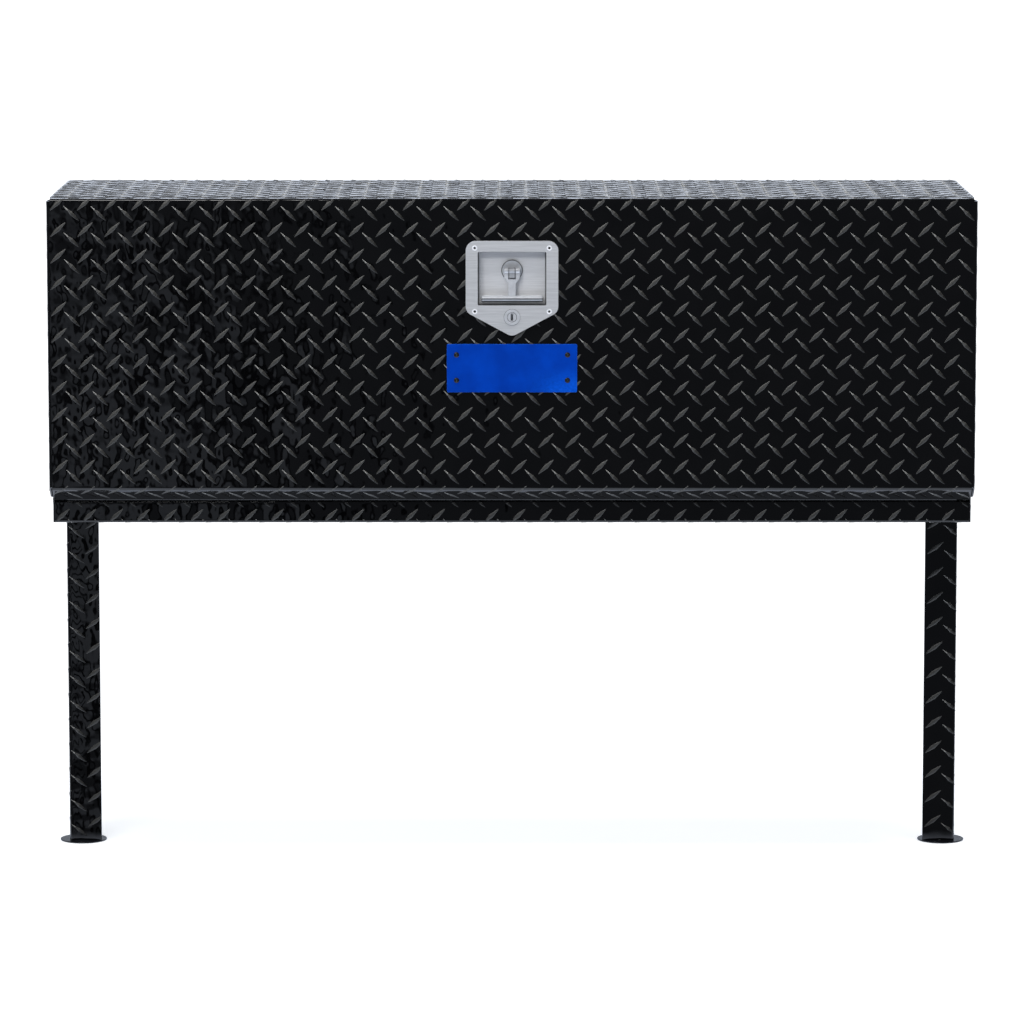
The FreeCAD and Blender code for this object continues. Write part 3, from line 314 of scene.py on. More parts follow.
def evaluated_mesh(made):
    """The finished mesh of an object with its modifiers worked out."""
    graph = bpy.context.evaluated_depsgraph_get()
    return bpy.data.meshes.new_from_object(made.evaluated_get(graph), depsgraph=graph)


def in_scene(made):
    """Puts an object into the scene."""
    bpy.context.scene.collection.objects.link(made)
    return made


def fill_inputs(modifier, tree, given):
    """Gives a modifier its tree, with the tree's inputs set by their identifiers."""
    modifier.node_group = tree
    sockets = {item.name: item.identifier for item in tree.interface.items_tree
               if item.in_out == "INPUT"}
    for key, value in given.items():
        modifier[sockets[key]] = value


plate_tree = tread_tree()
along_x = Matrix(((0, 0, 1, 0), (1, 0, 0, 0), (0, 1, 0, 0), (0, 0, 0, 1)))
for lug in (rising_lug, falling_lug):
    in_scene(lug)


def plain_line(section):
    """The sheet's own line, below the lug tops that the section gives."""
    plain = []
    last = len(section) - 1
    for index, point in enumerate(section):
        here = Vector(point[:2])
        sides = []
        for one, two in ((index - 1, index), (index, index + 1)):
            if one >= 0 and two <= last:
                step = (Vector(section[two][:2]) - Vector(section[one][:2])).normalized()
                sides.append(Vector((step.y, -step.x)))
        inward = sum(sides, Vector((0, 0))).normalized()
        plain.append(here + inward * tread_rise / inward.dot(sides[0]))
    return plain


def tread_strip(name, section, ends, columns, rows, second, node_name, place=Matrix.Identity(4),
                wall=2.4, fold=3.5, lugs=(rising_lug, falling_lug)):
    """Tread plate folded to the section and trimmed to its solid, as a mesh in its place. A third
    number at a corner of the section is that fold's own radius. Columns and rows each give the
    first lug's place, the pitch and the count; second gives how far the falling lugs are set off
    from the rising ones. Lengths are in millimetres."""
    line = bpy.data.curves.new(name, "CURVE")
    line.dimensions = "3D"
    run = line.splines.new("POLY")
    run.points.add(len(section) - 1)
    for point, (across, up), corner in zip(run.points, plain_line(section), section):
        point.co = (across * mm, up * mm, 0, 1)
        point.radius = (corner[2] if len(corner) > 2 else fold) * mm
    drawn = in_scene(bpy.data.objects.new(name + "_line", line))
    trim = in_scene(merged_copy(node_name, place))
    fill_inputs(drawn.modifiers.new("fold", "NODES"), plate_tree, {
        "Thickness": -wall * mm, "Low end": ends[0] * mm, "High end": ends[1] * mm,
        "Column pitch": columns[1] * mm, "Row pitch": rows[1] * mm,
        "First column": columns[0] * mm, "First row": rows[0] * mm,
        "Falling column": second[0] * mm, "Falling row": second[1] * mm,
        "Columns": columns[2], "Rows": rows[2], "Rising lug": lugs[0], "Falling lug": lugs[1],
        "Trim shape": trim, "Sheet coat": sheet_coat, "Lug coat": lug_coat})
    mesh = evaluated_mesh(drawn)
    mesh.transform(place)
    for made in (drawn, trim):
        bpy.data.objects.remove(made)
    return mesh


def finish_plate(name, meshes, body, *node_names):
    """One shown piece from one or more strips, with its folds smooth and its cut edges sharp."""
    made = in_scene(bpy.data.objects.new(name, meshes[0]))
    others = [in_scene(bpy.data.objects.new(name + "_strip", mesh)) for mesh in meshes[1:]]
    for other in others:
        join = made.modifiers.new("join", "BOOLEAN")
        join.operation = "UNION"
        join.solver = "MANIFOLD"
        join.object = other
    if others:
        mesh = evaluated_mesh(made)
        made.modifiers.clear()
        made.data = mesh
        for other in others:
            bpy.data.objects.remove(other)
    form = bmesh.new()
    form.from_mesh(made.data)
    bmesh.ops.remove_doubles(form, verts=form.verts, dist=5e-7)
    bmesh.ops.dissolve_degenerate(form, dist=5e-7, edges=form.edges)
    for face in form.faces:
        face.smooth = True
    for edge in form.edges:
        edge.smooth = (len({face.material_index for face in edge.link_faces}) == 1
                       and len(edge.link_faces) == 2
                       and edge.calc_face_angle(0.0) < math.radians(35))
    form.to_mesh(made.data)
    form.free()
    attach(made, body)
    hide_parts(*node_names)
    return made


shell_section = [(-137.8, 869.2), (-137.8, 900.4), (174.1, 900.4), (174.1, 467.7), (-137.8, 467.7),
                 (-137.8, 498.5, 2.8), (-111.8, 498.5)]
shell = tread_strip("body_shell", shell_section, (-604.8, 604.8), (-595.5, 35.48, 35),
                    (5.5, 34.85, 33), (17.8, -13.4), "body_shell", along_x)
finish_plate("body_shell_plate", [shell], "box_body", "body_shell")

# End panels: tread plate, with the front edge folded in beside the door opening. They are welded
# inside the ends of the shell. The left sheet is drawn a little long behind and cut back, so that
# no lug ends just at its edge.
for name, side in (("right", 1), ("left", -1)):
    section = [(607.6, 172.9), (607.6, -137.8), (574.8, -137.8)]
    if side < 0:
        section = [(-across, up) for across, up in reversed(section)]
        section[-1] = (-607.6, 175.4)
    panel = tread_strip(name + "_end", section, (467.7, 900.4), (482.0, 34.85, 12),
                        (14.0, 35.55, 10), (17.4, 17.8), name + "_end_panel")
    finish_plate(name + "_end_plate", [panel], "box_body", name + "_end_panel")

# Door skin: tread plate folded into a shallow pan, with a sloping flange at its foot and its
# corners notched, so that the head and the sides fold separately.
face_section = [(-141.0, 497.93), (-170.8, 516.54, 5.0), (-170.8, 900.4, 2.8), (-143.3, 900.4),
                (-143.3, 885.4)]
skin = [tread_strip("door_face", face_section, (-605.6, 605.6), (-594.0, 35.48, 34),
                    (29.5, 34.72, 13), (17.8, -13.4), "door_skin", along_x)]
for side in (1, -1):
    section = [(594.6, -143.3), (609.6, -143.3), (609.6, -170.8), (605.2, -170.8)]
    if side < 0:
        section = [(-across, up) for across, up in reversed(section)]
    skin.append(tread_strip("door_side", section, (499.7, 896.6), (520.0, 34.85, 11),
                            (28.0 if side > 0 else 15.5, 35.55, 1), (17.4, 0.0), "door_skin"))
finish_plate("door_skin_plate", skin, "door", "door_skin")

# Legs: angles of thick tread plate, bolted through caps to the underside of the box. Their lugs lie
# flatter than those on the box.
leg_lean = math.radians(53)
leg_lugs = (lug_block("leg_rising_lug", -leg_lean, rising_widths, rising_rub),
            lug_block("leg_falling_lug", leg_lean, falling_widths, falling_rub_and_highlight))
for lug in leg_lugs:
    in_scene(lug)
for name, side, first_row, second in (("right", 1, 25.5, (23.2, -22.6)),
                                      ("left", -1, 7.75, (21.6, 22.95))):
    section = [(606.6, 105.1), (606.6, 63.1), (562.1, 63.1)]
    if side < 0:
        section = [(-across, up) for across, up in reversed(section)]
    leg = tread_strip(name + "_leg", section, (2.0, 464.7), (-5.6, 34.33, 14), (first_row, 44.0, 2),
                      second, name + "_leg", wall=3.8, fold=4.3, lugs=leg_lugs)
    finish_plate(name + "_leg_plate", [leg], "box_body", name + "_leg")


def eased(name, node_name, body, coat, round_over, steps=2, share=None, edge_light_and_shade_coat=None):
    """A solid with its sharp corners eased, as the real piece has them, in place of the bare one.
    The share of the rounding may differ from edge to edge, and the rounded edges may get a coat of
    their own, for painted shade and painted highlights."""
    source = in_scene(merged_copy(node_name))
    sharp = math.radians(35)
    form = bmesh.new()
    form.from_mesh(source.data)
    bmesh.ops.dissolve_limit(form, angle_limit=math.radians(1), verts=form.verts, edges=form.edges)
    if share:
        weight = form.edges.layers.float.new("bevel_weight_edge")
        for edge in form.edges:
            if len(edge.link_faces) == 2 and edge.calc_face_angle(0.0) > sharp:
                edge[weight] = share((edge.verts[0].co + edge.verts[1].co) / 2)
    form.to_mesh(source.data)
    form.free()
    source.data.materials.append(coat)
    source.data.shade_smooth()
    easing = source.modifiers.new("easing", "BEVEL")
    easing.width = round_over
    easing.segments = steps
    easing.limit_method = "WEIGHT" if share else "ANGLE"
    easing.angle_limit = sharp
    if edge_light_and_shade_coat:
        source.data.materials.append(edge_light_and_shade_coat)
        easing.material = 1
    levelled = source.modifiers.new("level", "WEIGHTED_NORMAL")
    levelled.weight = 80
    made = in_scene(bpy.data.objects.new(name, evaluated_mesh(source)))
    bpy.data.objects.remove(source)
    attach(made, body)
    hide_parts(node_name)
    return made


def coat_node(coat, *node_names):
    """Solids that stay as they are and get the given finish."""
    for node_name in node_names:
        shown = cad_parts[node_name]
        shown.data.materials.clear()
        shown.data.materials.append(coat)


# Leg caps and feet: flat black plates under the box and under each leg. The feet are turned discs.
cap_coat = surface("black_sheet_coat", srgb(11, 12, 13), srgb(20, 21, 23), 0.03, (0.16, 0.3),
                   bumps=((0.02, 0.00008), (0.0009, 0.000006)))
foot_coat = surface("foot_coat", srgb(16, 18, 22), srgb(34, 38, 46), 0.02, (0.12, 0.24),
                    bumps=((0.015, 0.00006), (0.0012, 0.00001)))
for side in ("right", "left"):
    eased(side + "_leg_cap_plate", side + "_leg_cap", "box_body", cap_coat, 0.4 * mm)
    eased(side + "_foot_disc", side + "_foot", "box_body", foot_coat, 0.5 * mm)

# Leg fastenings: plated hexagon bolts, washers and nuts through the caps and the floor.
zinc = surface("zinc_plate", srgb(176, 180, 184), srgb(198, 202, 206), 0.006, (0.28, 0.4),
               metallic=0.75, bumps=((0.003, 0.000006),))
for name in ("leg_bolts", "leg_washers", "leg_nuts"):
    eased(name + "_plated", name, "box_body", zinc, 0.35 * mm)

# Continuous hinge: two steel leaves, coated black with the box and curled in turn round one bare
# pin. Their black is also painted shade for the thin gap under the door's flange. Domed blind
# rivets hold them to the sill and to the door.
hinge_coat = surface("hinge_coat", srgb(9, 9, 10), srgb(16, 16, 18), 0.02, (0.2, 0.34),
                     bumps=((0.0009, 0.000008),))
bare_aluminium = surface("bare_rivet_head", srgb(168, 171, 174), srgb(206, 208, 210), 0.002,
                         (0.2, 0.36), metallic=1.0, bumps=((0.0005, 0.00001),))
rivet_head = 1.0
rivet_swell = 2.2
domed_profile = [(0, -0.55), (1.05, -0.6), (1.15, -0.95), (1.7, -1.0), (2.5, -0.9), (3.15, -0.62),
                 (3.5, -0.3), (3.6, 0)]


def lathed(name, profile, core=0.0, steps=14):
    """A closed turned shape: the profile gives radius and height in millimetres, round the Z axis.
    What lies within the core's radius in front of the tail is marked as sunk."""
    form = bmesh.new()
    sunk = form.faces.layers.float.new("sunk")
    rings = []
    for radius, height in profile:
        turns = steps if radius else 1
        rings.append([form.verts.new((radius * mm * math.cos(turn * math.tau / steps),
                                      radius * mm * math.sin(turn * math.tau / steps), height * mm))
                      for turn in range(turns)])
    for index, (low, high) in enumerate(zip(rings, rings[1:])):
        in_core = max(profile[index][0], profile[index + 1][0]) < core and index < len(rings) / 2
        for turn in range(steps):
            after = (turn + 1) % steps
            corners = [low[turn % len(low)], low[after % len(low)], high[after % len(high)],
                       high[turn % len(high)]]
            form.faces.new(list(dict.fromkeys(corners)))[sunk] = float(in_core)
    bmesh.ops.recalc_face_normals(form, faces=form.faces)
    mesh = bpy.data.meshes.new(name)
    form.to_mesh(mesh)
    form.free()
    mesh.shade_smooth()
    return bpy.data.objects.new(name, mesh)


def rivet_tree():
    """Puts one rivet at every given place, turned to face its own way, with its sunk hollow in a
    finish of its own, which may be painted shade.
    """
    tree = bpy.data.node_groups.new("rivet_row", "GeometryNodeTree")
    for name, kind in (("Places", "Geometry"), ("Rivet", "Object"), ("Turn", "Vector"),
                       ("Finish", "Material"), ("Hollow shade finish", "Material")):
        tree.interface.new_socket(name, in_out="INPUT", socket_type="NodeSocket" + kind)
    tree.interface.new_socket("Row", in_out="OUTPUT", socket_type="NodeSocketGeometry")
    given = tree.nodes.new("NodeGroupInput").outputs
    source = add_node(tree, "GeometryNodeObjectInfo", {"Object": given["Rivet"]})
    copies = add_node(tree, "GeometryNodeInstanceOnPoints", {
        "Points": given["Places"], "Instance": source.outputs["Geometry"],
        "Rotation": given["Turn"]})
    real = add_node(tree, "GeometryNodeRealizeInstances", {"Geometry": copies.outputs[0]})
    finished = add_node(tree, "GeometryNodeSetMaterial", {"Geometry": real.outputs[0],
                                                          "Material": given["Finish"]})
    is_sunk = add_node(tree, "GeometryNodeInputNamedAttribute", {"Name": "sunk"},
                       data_type="BOOLEAN")
    cored = add_node(tree, "GeometryNodeSetMaterial", {
        "Geometry": finished.outputs[0], "Selection": is_sunk.outputs[0],
        "Material": given["Hollow shade finish"]})
    add_node(tree, "NodeGroupOutput", {0: cored.outputs[0]})
    return tree


def solid_boxes(node_name):
    """The lowest and highest corner of each separate solid in a node, in order of their places."""
    form = bmesh.new()
    form.from_mesh(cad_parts[node_name].data)
    bmesh.ops.remove_doubles(form, verts=form.verts, dist=2e-6)
    left = set(form.verts)
    boxes = []
    while left:
        group = {left.pop()}
        edge_of_group = set(group)
        while edge_of_group:
            edge_of_group = {edge.other_vert(vert) for vert in edge_of_group
                             for edge in vert.link_edges} - group
            group |= edge_of_group
        left -= group
        places = [vert.co for vert in group]
        boxes.append((Vector([min(place[axis] for place in places) for axis in range(3)]),
                      Vector([max(place[axis] for place in places) for axis in range(3)])))
    form.free()
    return sorted(boxes, key=lambda box: tuple(box[0]))


row_tree = rivet_tree()


def rivet_row(name, node_name, towards, body, finish, head=domed_profile, proud=rivet_head,
              core=0.0, hollow_shade_finish=None):
    """Blind rivets where a node's solids are, each with its head, shank and swollen tail."""
    towards = Vector(towards)
    boxes = solid_boxes(node_name)
    length = abs((boxes[0][1] - boxes[0][0]).dot(towards)) / mm
    grip = length - proud - rivet_swell
    tail = [(2.0, 0), (2.0, grip), (2.65, grip + 0.2), (2.9, grip + 0.9), (2.6, grip + 1.8),
            (1.3, length - proud), (0, length - proud)]
    rivet = in_scene(lathed(name + "_form", head + tail, core))
    rivet.data.materials.append(finish)
    places = bpy.data.meshes.new(name)
    places.from_pydata([(low + high) / 2 - towards * (length / 2 - proud) * mm
                        for low, high in boxes], [], [])
    spots = in_scene(bpy.data.objects.new(name + "_spots", places))
    fill_inputs(spots.modifiers.new("row", "NODES"), row_tree, {
        "Rivet": rivet, "Turn": tuple(towards.to_track_quat("Z", "Y").to_euler()),
        "Finish": finish, "Hollow shade finish": hollow_shade_finish or finish})
    made = in_scene(bpy.data.objects.new(name, evaluated_mesh(spots)))
    for spent in (rivet, spots):
        bpy.data.objects.remove(spent)
    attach(made, body)
    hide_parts(node_name)


eased("hinge_body_leaf_formed", "hinge_body_leaf", "box_body", hinge_coat, 0.15 * mm)
eased("hinge_door_leaf_formed", "hinge_door_leaf", "door", hinge_coat, 0.15 * mm)
rivet_row("hinge_sill_rivets", "hinge_body_rivets", (0, 0, -1), "box_body",
          bare_aluminium)
rivet_row("hinge_liner_rivets", "hinge_door_rivets", (0, -1, 0), "door",
          bare_aluminium)

# Door liner: flat black sheet riveted inside the door pan over two pressed stiffeners.
eased("door_liner_sheet", "door_liner", "door", cap_coat, 0.2 * mm)
eased("door_stiffeners_pressed", "door_stiffeners", "door", cap_coat, 0.2 * mm)
black_rivet = surface("black_rivet_head", srgb(14, 14, 15), srgb(30, 31, 32), 0.002, (0.18, 0.34),
                      bumps=((0.0006, 0.00002),))
rivet_row("liner_edge_rivets", "liner_rivets", (0, -1, 0), "door", black_rivet)

# Weather strip: black cellular rubber stuck round the opening.
rubber = surface("black_rubber", srgb(20, 20, 21), srgb(34, 34, 35), 0.008, (0.6, 0.8),
                 bumps=((0.0007, 0.00008), (0.003, 0.0001)))
eased("weather_strip_rubber", "weather_strip", "box_body", rubber, 1.2 * mm,
      steps=3)

# Strike plate: black sheet steel riveted behind the front lip, where the cam turns up behind it.
eased("strike_plate_sheet", "strike_plate", "box_body", cap_coat, 0.3 * mm)
rivet_row("strike_lip_rivets", "strike_rivets", (0, 1, 0), "box_body", black_rivet)

# Latch plate: brushed stainless sheet, pointed below, with a deep pan pressed in for the handle. It
# lies on a thin rubber gasket and is held by four countersunk rivets.
brush_stretch = (0.04, 1, 1)
brushed = surface("brushed_stainless", srgb(206, 207, 209), srgb(220, 221, 223), 0.0012,
                  (0.38, 0.46), metallic=0.35, bumps=((0.0005, 0.000003),), stretch=brush_stretch)
# A brighter copy of the same brushed steel for the pan: painted light that lifts the shade inside
# the pan.
pan_steel_painted_light = surface("brushed_pan_painted_light", srgb(240, 240, 241), srgb(250, 250, 251), 0.0012,
                      (0.38, 0.46), metallic=0.35, bumps=((0.0005, 0.000002),),
                      stretch=brush_stretch)


def smooth_change(tree, value, low, high, start=0.0, end=1.0):
    """A smooth change from start to end as a value goes from low to high."""
    return add_node(tree, "ShaderNodeMapRange", {
        "Value": value, "From Min": low, "From Max": high, "To Min": start, "To Max": end},
        interpolation_type="SMOOTHSTEP").outputs[0]


def paint_shade_band(coat, axis, low, high, darkest, centre=0.0):
    """Paints shade into a coat in a soft band, where a pressed corner or a turned groove falls
    dark.
    The band runs from low to high along X or Z, on both sides of the centre, or as a ring round the
    centre."""
    tree = coat.node_tree
    place = add_node(tree, "ShaderNodeTexCoord")
    from_centre = add_node(tree, "ShaderNodeVectorMath", {
        0: place.outputs["Object"], 1: (0, 0, centre)}, operation="SUBTRACT")
    kept_axes = {"X": (1, 0, 0), "Z": (0, 0, 1), "RING": (1, 0, 1)}[axis]
    kept = add_node(tree, "ShaderNodeVectorMath", {0: from_centre.outputs[0], 1: kept_axes},
                    operation="MULTIPLY")
    far = add_node(tree, "ShaderNodeVectorMath", {0: kept.outputs[0]}, operation="LENGTH")
    shade = smooth_change(tree, far.outputs["Value"], low, high, 1.0, darkest)
    blend_into_base(coat, "MULTIPLY", 1.0, shade)


pan_middle_z = 795.3 * mm
# Painted shade along the pan's sides, top and foot, where its pressed corners fall dark.
paint_shade_band(pan_steel_painted_light, "X", 42.6 * mm, 44.2 * mm, 0.14)
paint_shade_band(pan_steel_painted_light, "Z", 33.6 * mm, 34.8 * mm, 0.2, pan_middle_z)
# A dark grey coat for rounded edges: painted shade that outlines the pan, the hub, the handle and
# the lock.
edge_painted_shade = surface("edge_painted_shade", srgb(74, 77, 84), srgb(96, 99, 106), 0.004, (0.2, 0.3),
                       metallic=0.6)
pan_top_z = 830.5 * mm
pan_low_z = 760.2 * mm
pan_half_width = 46 * mm
pan_depth = 15.3 * mm
pan_edge_depth = 2.5 * mm
latch_front_y = -173.3 * mm
handle_z = 805.2 * mm


def pan_share(middle):
    """The pressed edges of the pan are rounder than the cut edges of the plate."""
    on_pan = abs(middle.x) < pan_half_width and pan_low_z - mm < middle.z < pan_top_z + mm
    if on_pan and abs(middle.x) > 10 * mm and middle.y < latch_front_y + pan_depth:
        return 1.0
    on_pan_edge = on_pan and abs(middle.z - handle_z) > 12 * mm
    return 1.0 if on_pan_edge else 0.17


latch_plate = eased("latch_plate_pressed", "latch_plate", "door", brushed, 2.0 * mm,
                    steps=4, share=pan_share, edge_light_and_shade_coat=edge_painted_shade)
# Pan faces below the pressed edge get the brighter painted-light copy. The pan's rounded edges keep
# the painted dark edge coat, and the rest of the plate keeps the plain steel.
latch_plate.data.materials.append(pan_steel_painted_light)
for face in latch_plate.data.polygons:
    in_pan = (abs(face.center.x) < pan_half_width + 0.5 * mm
              and pan_low_z - 2 * mm < face.center.z < pan_top_z + 2 * mm)
    if not in_pan:
        face.material_index = 0
    elif face.material_index == 0 and face.center.y > latch_front_y + pan_edge_depth:
        face.material_index = 2
coat_node(rubber, "latch_gasket")
# The countersunk rivets' rims are painted near white as a highlight, and their hollows black as
# painted shade.
rim_painted_highlight = surface("rivet_rim_painted_highlight", srgb(246, 247, 252), srgb(252, 253, 255), 0.002,
                     (0.25, 0.34), bumps=((0.002, 0.000004),))
sunk_profile = [(0, 3.0), (1.6, 3.0), (1.6, 0.3), (1.8, 0.05), (3.4, 0.0), (3.6, 0.1), (2.05, 1.0)]
rivet_row("latch_sunk_rivets", "latch_rivets", (0, 1, 0), "door", rim_painted_highlight,
          head=sunk_profile, proud=0.0, core=1.7, hollow_shade_finish=black_rivet)

# Handle: a forked stainless hub with its nut, and a T-shaped stainless handle that folds on a pin.
handle_steel = surface("handle_steel", srgb(222, 224, 228), srgb(236, 238, 242), 0.01, (0.3, 0.38),
                       metallic=0.4)
hub_steel = surface("hub_steel", srgb(222, 224, 228), srgb(236, 238, 242), 0.01, (0.3, 0.38),
                    metallic=0.4)
# Painted shade: a dark ring round the hub's rim.
paint_shade_band(hub_steel, "RING", 12.4 * mm, 13.6 * mm, 0.12, handle_z)
# A darker copy of the handle's steel for the T-bar, with painted reflections in bands across it.
bar_steel_painted_reflections = surface("bar_steel_painted_bands", srgb(204, 207, 212), srgb(216, 219, 224), 0.01, (0.3, 0.38),
                    metallic=0.5)


def paint_light_and_shade_bands(coat, low, high, stops):
    """Paints light and shade into a coat in level bands between two heights, as a round bar mirrors
    the bright and dark room and rounded ends fall dark. The stops give a share of the way up and a
    level, the lowest and the highest first."""
    tree = coat.node_tree
    place = add_node(tree, "ShaderNodeTexCoord")
    axes = add_node(tree, "ShaderNodeSeparateXYZ", {0: place.outputs["Object"]})
    height = add_node(tree, "ShaderNodeMapRange", {"Value": axes.outputs["Z"], "From Min": low,
                                                   "From Max": high})
    bands = add_node(tree, "ShaderNodeValToRGB", {"Fac": height.outputs[0]})
    for position, level in stops[2:]:
        bands.color_ramp.elements.new(position)
    for element, (position, level) in zip(bands.color_ramp.elements, sorted(stops)):
        element.position = position
        element.color = (level, level, level, 1)
    blend_into_base(coat, "MULTIPLY", 1.0, bands.outputs["Color"])


# The bands: bright where the bar would mirror the room above and the floor, dark where it would
# mirror the dim card, and dark at its foot.
paint_light_and_shade_bands(bar_steel_painted_reflections, 764 * mm, 772.6 * mm, [(0.0, 0.05), (1.0, 1.0), (0.14, 0.1), (0.24, 0.9),
                                              (0.38, 0.9), (0.46, 0.12), (0.56, 0.2), (0.66, 1.0)])
# A darker copy of the hub's steel for the tongue, as painted shade, with more painted shade down
# its sides, at its foot and towards its top.
tongue_steel_painted_shade = surface("tongue_steel_painted_shade", srgb(200, 202, 207), srgb(212, 214, 219), 0.01, (0.3, 0.38),
                       metallic=0.4)
paint_shade_band(tongue_steel_painted_shade, "X", 3.0 * mm, 4.2 * mm, 0.3)
paint_light_and_shade_bands(tongue_steel_painted_shade, 793 * mm, 811 * mm, [(0.0, 0.08), (1.0, 0.15), (0.12, 0.1), (0.2, 0.9),
                                               (0.55, 0.85), (0.75, 0.7), (0.9, 0.5)])
# Painted shade on the handle's knuckle, darker towards its top, which also tones down its
# highlight.
paint_light_and_shade_bands(handle_steel, 798 * mm, 811 * mm, [(0.0, 1.0), (1.0, 0.2), (0.35, 0.95), (0.6, 0.72),
                                               (0.85, 0.66)])
hub = eased("handle_hub_turned", "handle_hub", "door", hub_steel, 0.9 * mm, steps=3,
            edge_light_and_shade_coat=edge_painted_shade)
hub.data.materials.append(tongue_steel_painted_shade)
hub_front_y = min(vert.co.y for vert in hub.data.vertices)
tongue_half_width = 4.6 * mm
tongue_depth = 6.5 * mm
# The tongue's front faces get the darker copy with its painted shade.
for face in hub.data.polygons:
    if abs(face.center.x) < tongue_half_width and face.center.y < hub_front_y + tongue_depth:
        face.material_index = 2
t_handle = eased("t_handle_forged", "t_handle", "t_handle", handle_steel, 0.6 * mm,
                 steps=3, edge_light_and_shade_coat=edge_painted_shade)
t_handle.data.materials.append(bar_steel_painted_reflections)
bar_top_z = 773 * mm
# The bar's faces get the steel with its painted reflection bands.
for face in t_handle.data.polygons:
    if face.center.z < bar_top_z:
        face.material_index = 2
# The handle pin takes the handle's painted shade at the knuckle too; the hinge pin lies below it.
coat_node(handle_steel, "handle_pin", "hinge_pin")

# Latch shaft and cam: plated steel inside the box, in a nylon bush, held by washers and nuts.
nylon = surface("white_nylon", srgb(214, 212, 205), srgb(232, 231, 226), 0.005, (0.35, 0.5),
                bumps=((0.001, 0.00002),))
for name, body in (("latch_shaft", "latch"), ("latch_cam", "latch"), ("cam_washer", "latch"),
                   ("cam_nut", "latch"), ("hub_nut", "door")):
    eased(name + "_plated", name, body, zinc, 0.3 * mm)
eased("shaft_bush_turned", "shaft_bush", "door", nylon, 0.2 * mm)

# Lock: a plated cylinder with its keyed plug, nut and tail.
lock_face = surface("lock_face", srgb(210, 212, 216), srgb(222, 224, 228), 0.004, (0.34, 0.42),
                    metallic=0.35)
for name, body in (("lock_cylinder", "door"), ("lock_plug", "lock_plug")):
    eased(name + "_faced", name, body, lock_face, 0.3 * mm, edge_light_and_shade_coat=edge_painted_shade)
for name, body in (("lock_nut", "door"), ("lock_tail", "lock_plug")):
    eased(name + "_plated", name, body, zinc, 0.25 * mm)

# Badge plate: bare blue anodised aluminium held by four black dome-headed rivets.
badge_blue = surface("blue_anodised", srgb(0, 58, 170), srgb(0, 68, 190), 0.03, (0.05, 0.12),
                     bumps=((0.012, 0.00002),))
# A brighter blue for the badge's rounded edges: a painted highlight.
badge_edge_highlight = surface("blue_edge_painted_highlight", srgb(30, 120, 248), srgb(60, 140, 255), 0.006, (0.2, 0.3))
for blue in (badge_blue, badge_edge_highlight):
    blue.node_tree.nodes["Principled BSDF"].inputs["Specular IOR Level"].default_value = 0.25


def math_in(tree, operation, *values):
    """One sum in a tree, of sockets or numbers."""
    return add_node(tree, "ShaderNodeMath", dict(enumerate(values)),
                    operation=operation).outputs[0]


def paint_sheen_corner(coat, pale):
    """A painted sheen: a paler glint with fine grain, which grows towards the plate's lower right
    corner.
    """
    tree = coat.node_tree
    place = add_node(tree, "ShaderNodeTexCoord").outputs["Object"]
    axes = add_node(tree, "ShaderNodeSeparateXYZ", {0: place})
    grain_size = 3 * mm
    amount = add_node(tree, "ShaderNodeTexNoise", {"Vector": place,
                                                   "Scale": 1 / grain_size}).outputs[0]
    for axis, none, full in (("X", 5 * mm, 80 * mm), ("Z", 682 * mm, 648 * mm)):
        share = smooth_change(tree, axes.outputs[axis], none, full, 0.0, 1.2)
        amount = math_in(tree, "MULTIPLY", amount, share)
    blend_into_base(coat, "MIX", amount, (*pale, 1))


# Painted sheen on the badge's lower right.
paint_sheen_corner(badge_blue, srgb(8, 94, 226))
eased("badge_plate_blue", "badge_plate", "door", badge_blue, 0.7 * mm,
      edge_light_and_shade_coat=badge_edge_highlight)
rivet_row("badge_corner_rivets", "badge_rivets", (0, 1, 0), "door", black_rivet)

# Check stays: flat plated bars with a long slot, which turn on the door's pins and slide along the
# body's pins. Their brackets are folded black sheet, riveted on.
for side in ("right", "left"):
    eased(side + "_stay_bar", side + "_stay", side + "_stay", zinc, 0.3 * mm)
for name, body in (("stay_body_brackets", "box_body"), ("stay_door_brackets", "door")):
    eased(name + "_folded", name, body, cap_coat, 0.3 * mm)
for name, body in (("stay_body_pins", "box_body"), ("stay_door_pins", "door")):
    eased(name + "_plated", name, body, zinc, 0.3 * mm)
rivet_row("stay_liner_rivets", "stay_door_rivets", (0, -1, 0), "door", black_rivet)
coat_node(black_rivet, "stay_bracket_rivets")

# Wire plugs: moulded rubber plugs in the two wire holes through the back.
eased("wire_plugs_moulded", "wire_plugs", "box_body", rubber, 0.6 * mm, steps=3)

# The studio: a plain pale floor that fades out at its edges, a soft lamp overhead and one at the
# front left, and a white room with a dim card in front, so that the gloss black coat shows what a
# photographer's studio shows.
floor_mesh = bpy.data.meshes.new("studio_floor")
floor_form = bmesh.new()
bmesh.ops.create_grid(floor_form, x_segments=4, y_segments=4, size=1)
for corner in floor_form.verts:
    corner.co = (corner.co.x * 1.5, corner.co.y * 0.85 + 0.49, 0)
floor_form.to_mesh(floor_mesh)
floor_form.free()
floor = in_scene(bpy.data.objects.new("studio_floor", floor_mesh))
floor_paint = surface("floor_paint", srgb(232, 232, 231), srgb(238, 238, 238), 0.4, (0.6, 0.7),
                      bumps=((0.02, 0.0001),))
floor_tree = floor_paint.node_tree
floor_shader = floor_tree.nodes["Principled BSDF"]
seen = add_node(floor_tree, "ShaderNodeLightPath").outputs
straight = math_in(floor_tree, "MAXIMUM", seen["Is Camera Ray"], seen["Is Glossy Ray"])
shown = math_in(floor_tree, "MAXIMUM", straight, seen["Is Transmission Ray"])
lift = math_in(floor_tree, "MULTIPLY", shown, 0.75)
floor_tree.links.new(lift, floor_shader.inputs["Emission Strength"])
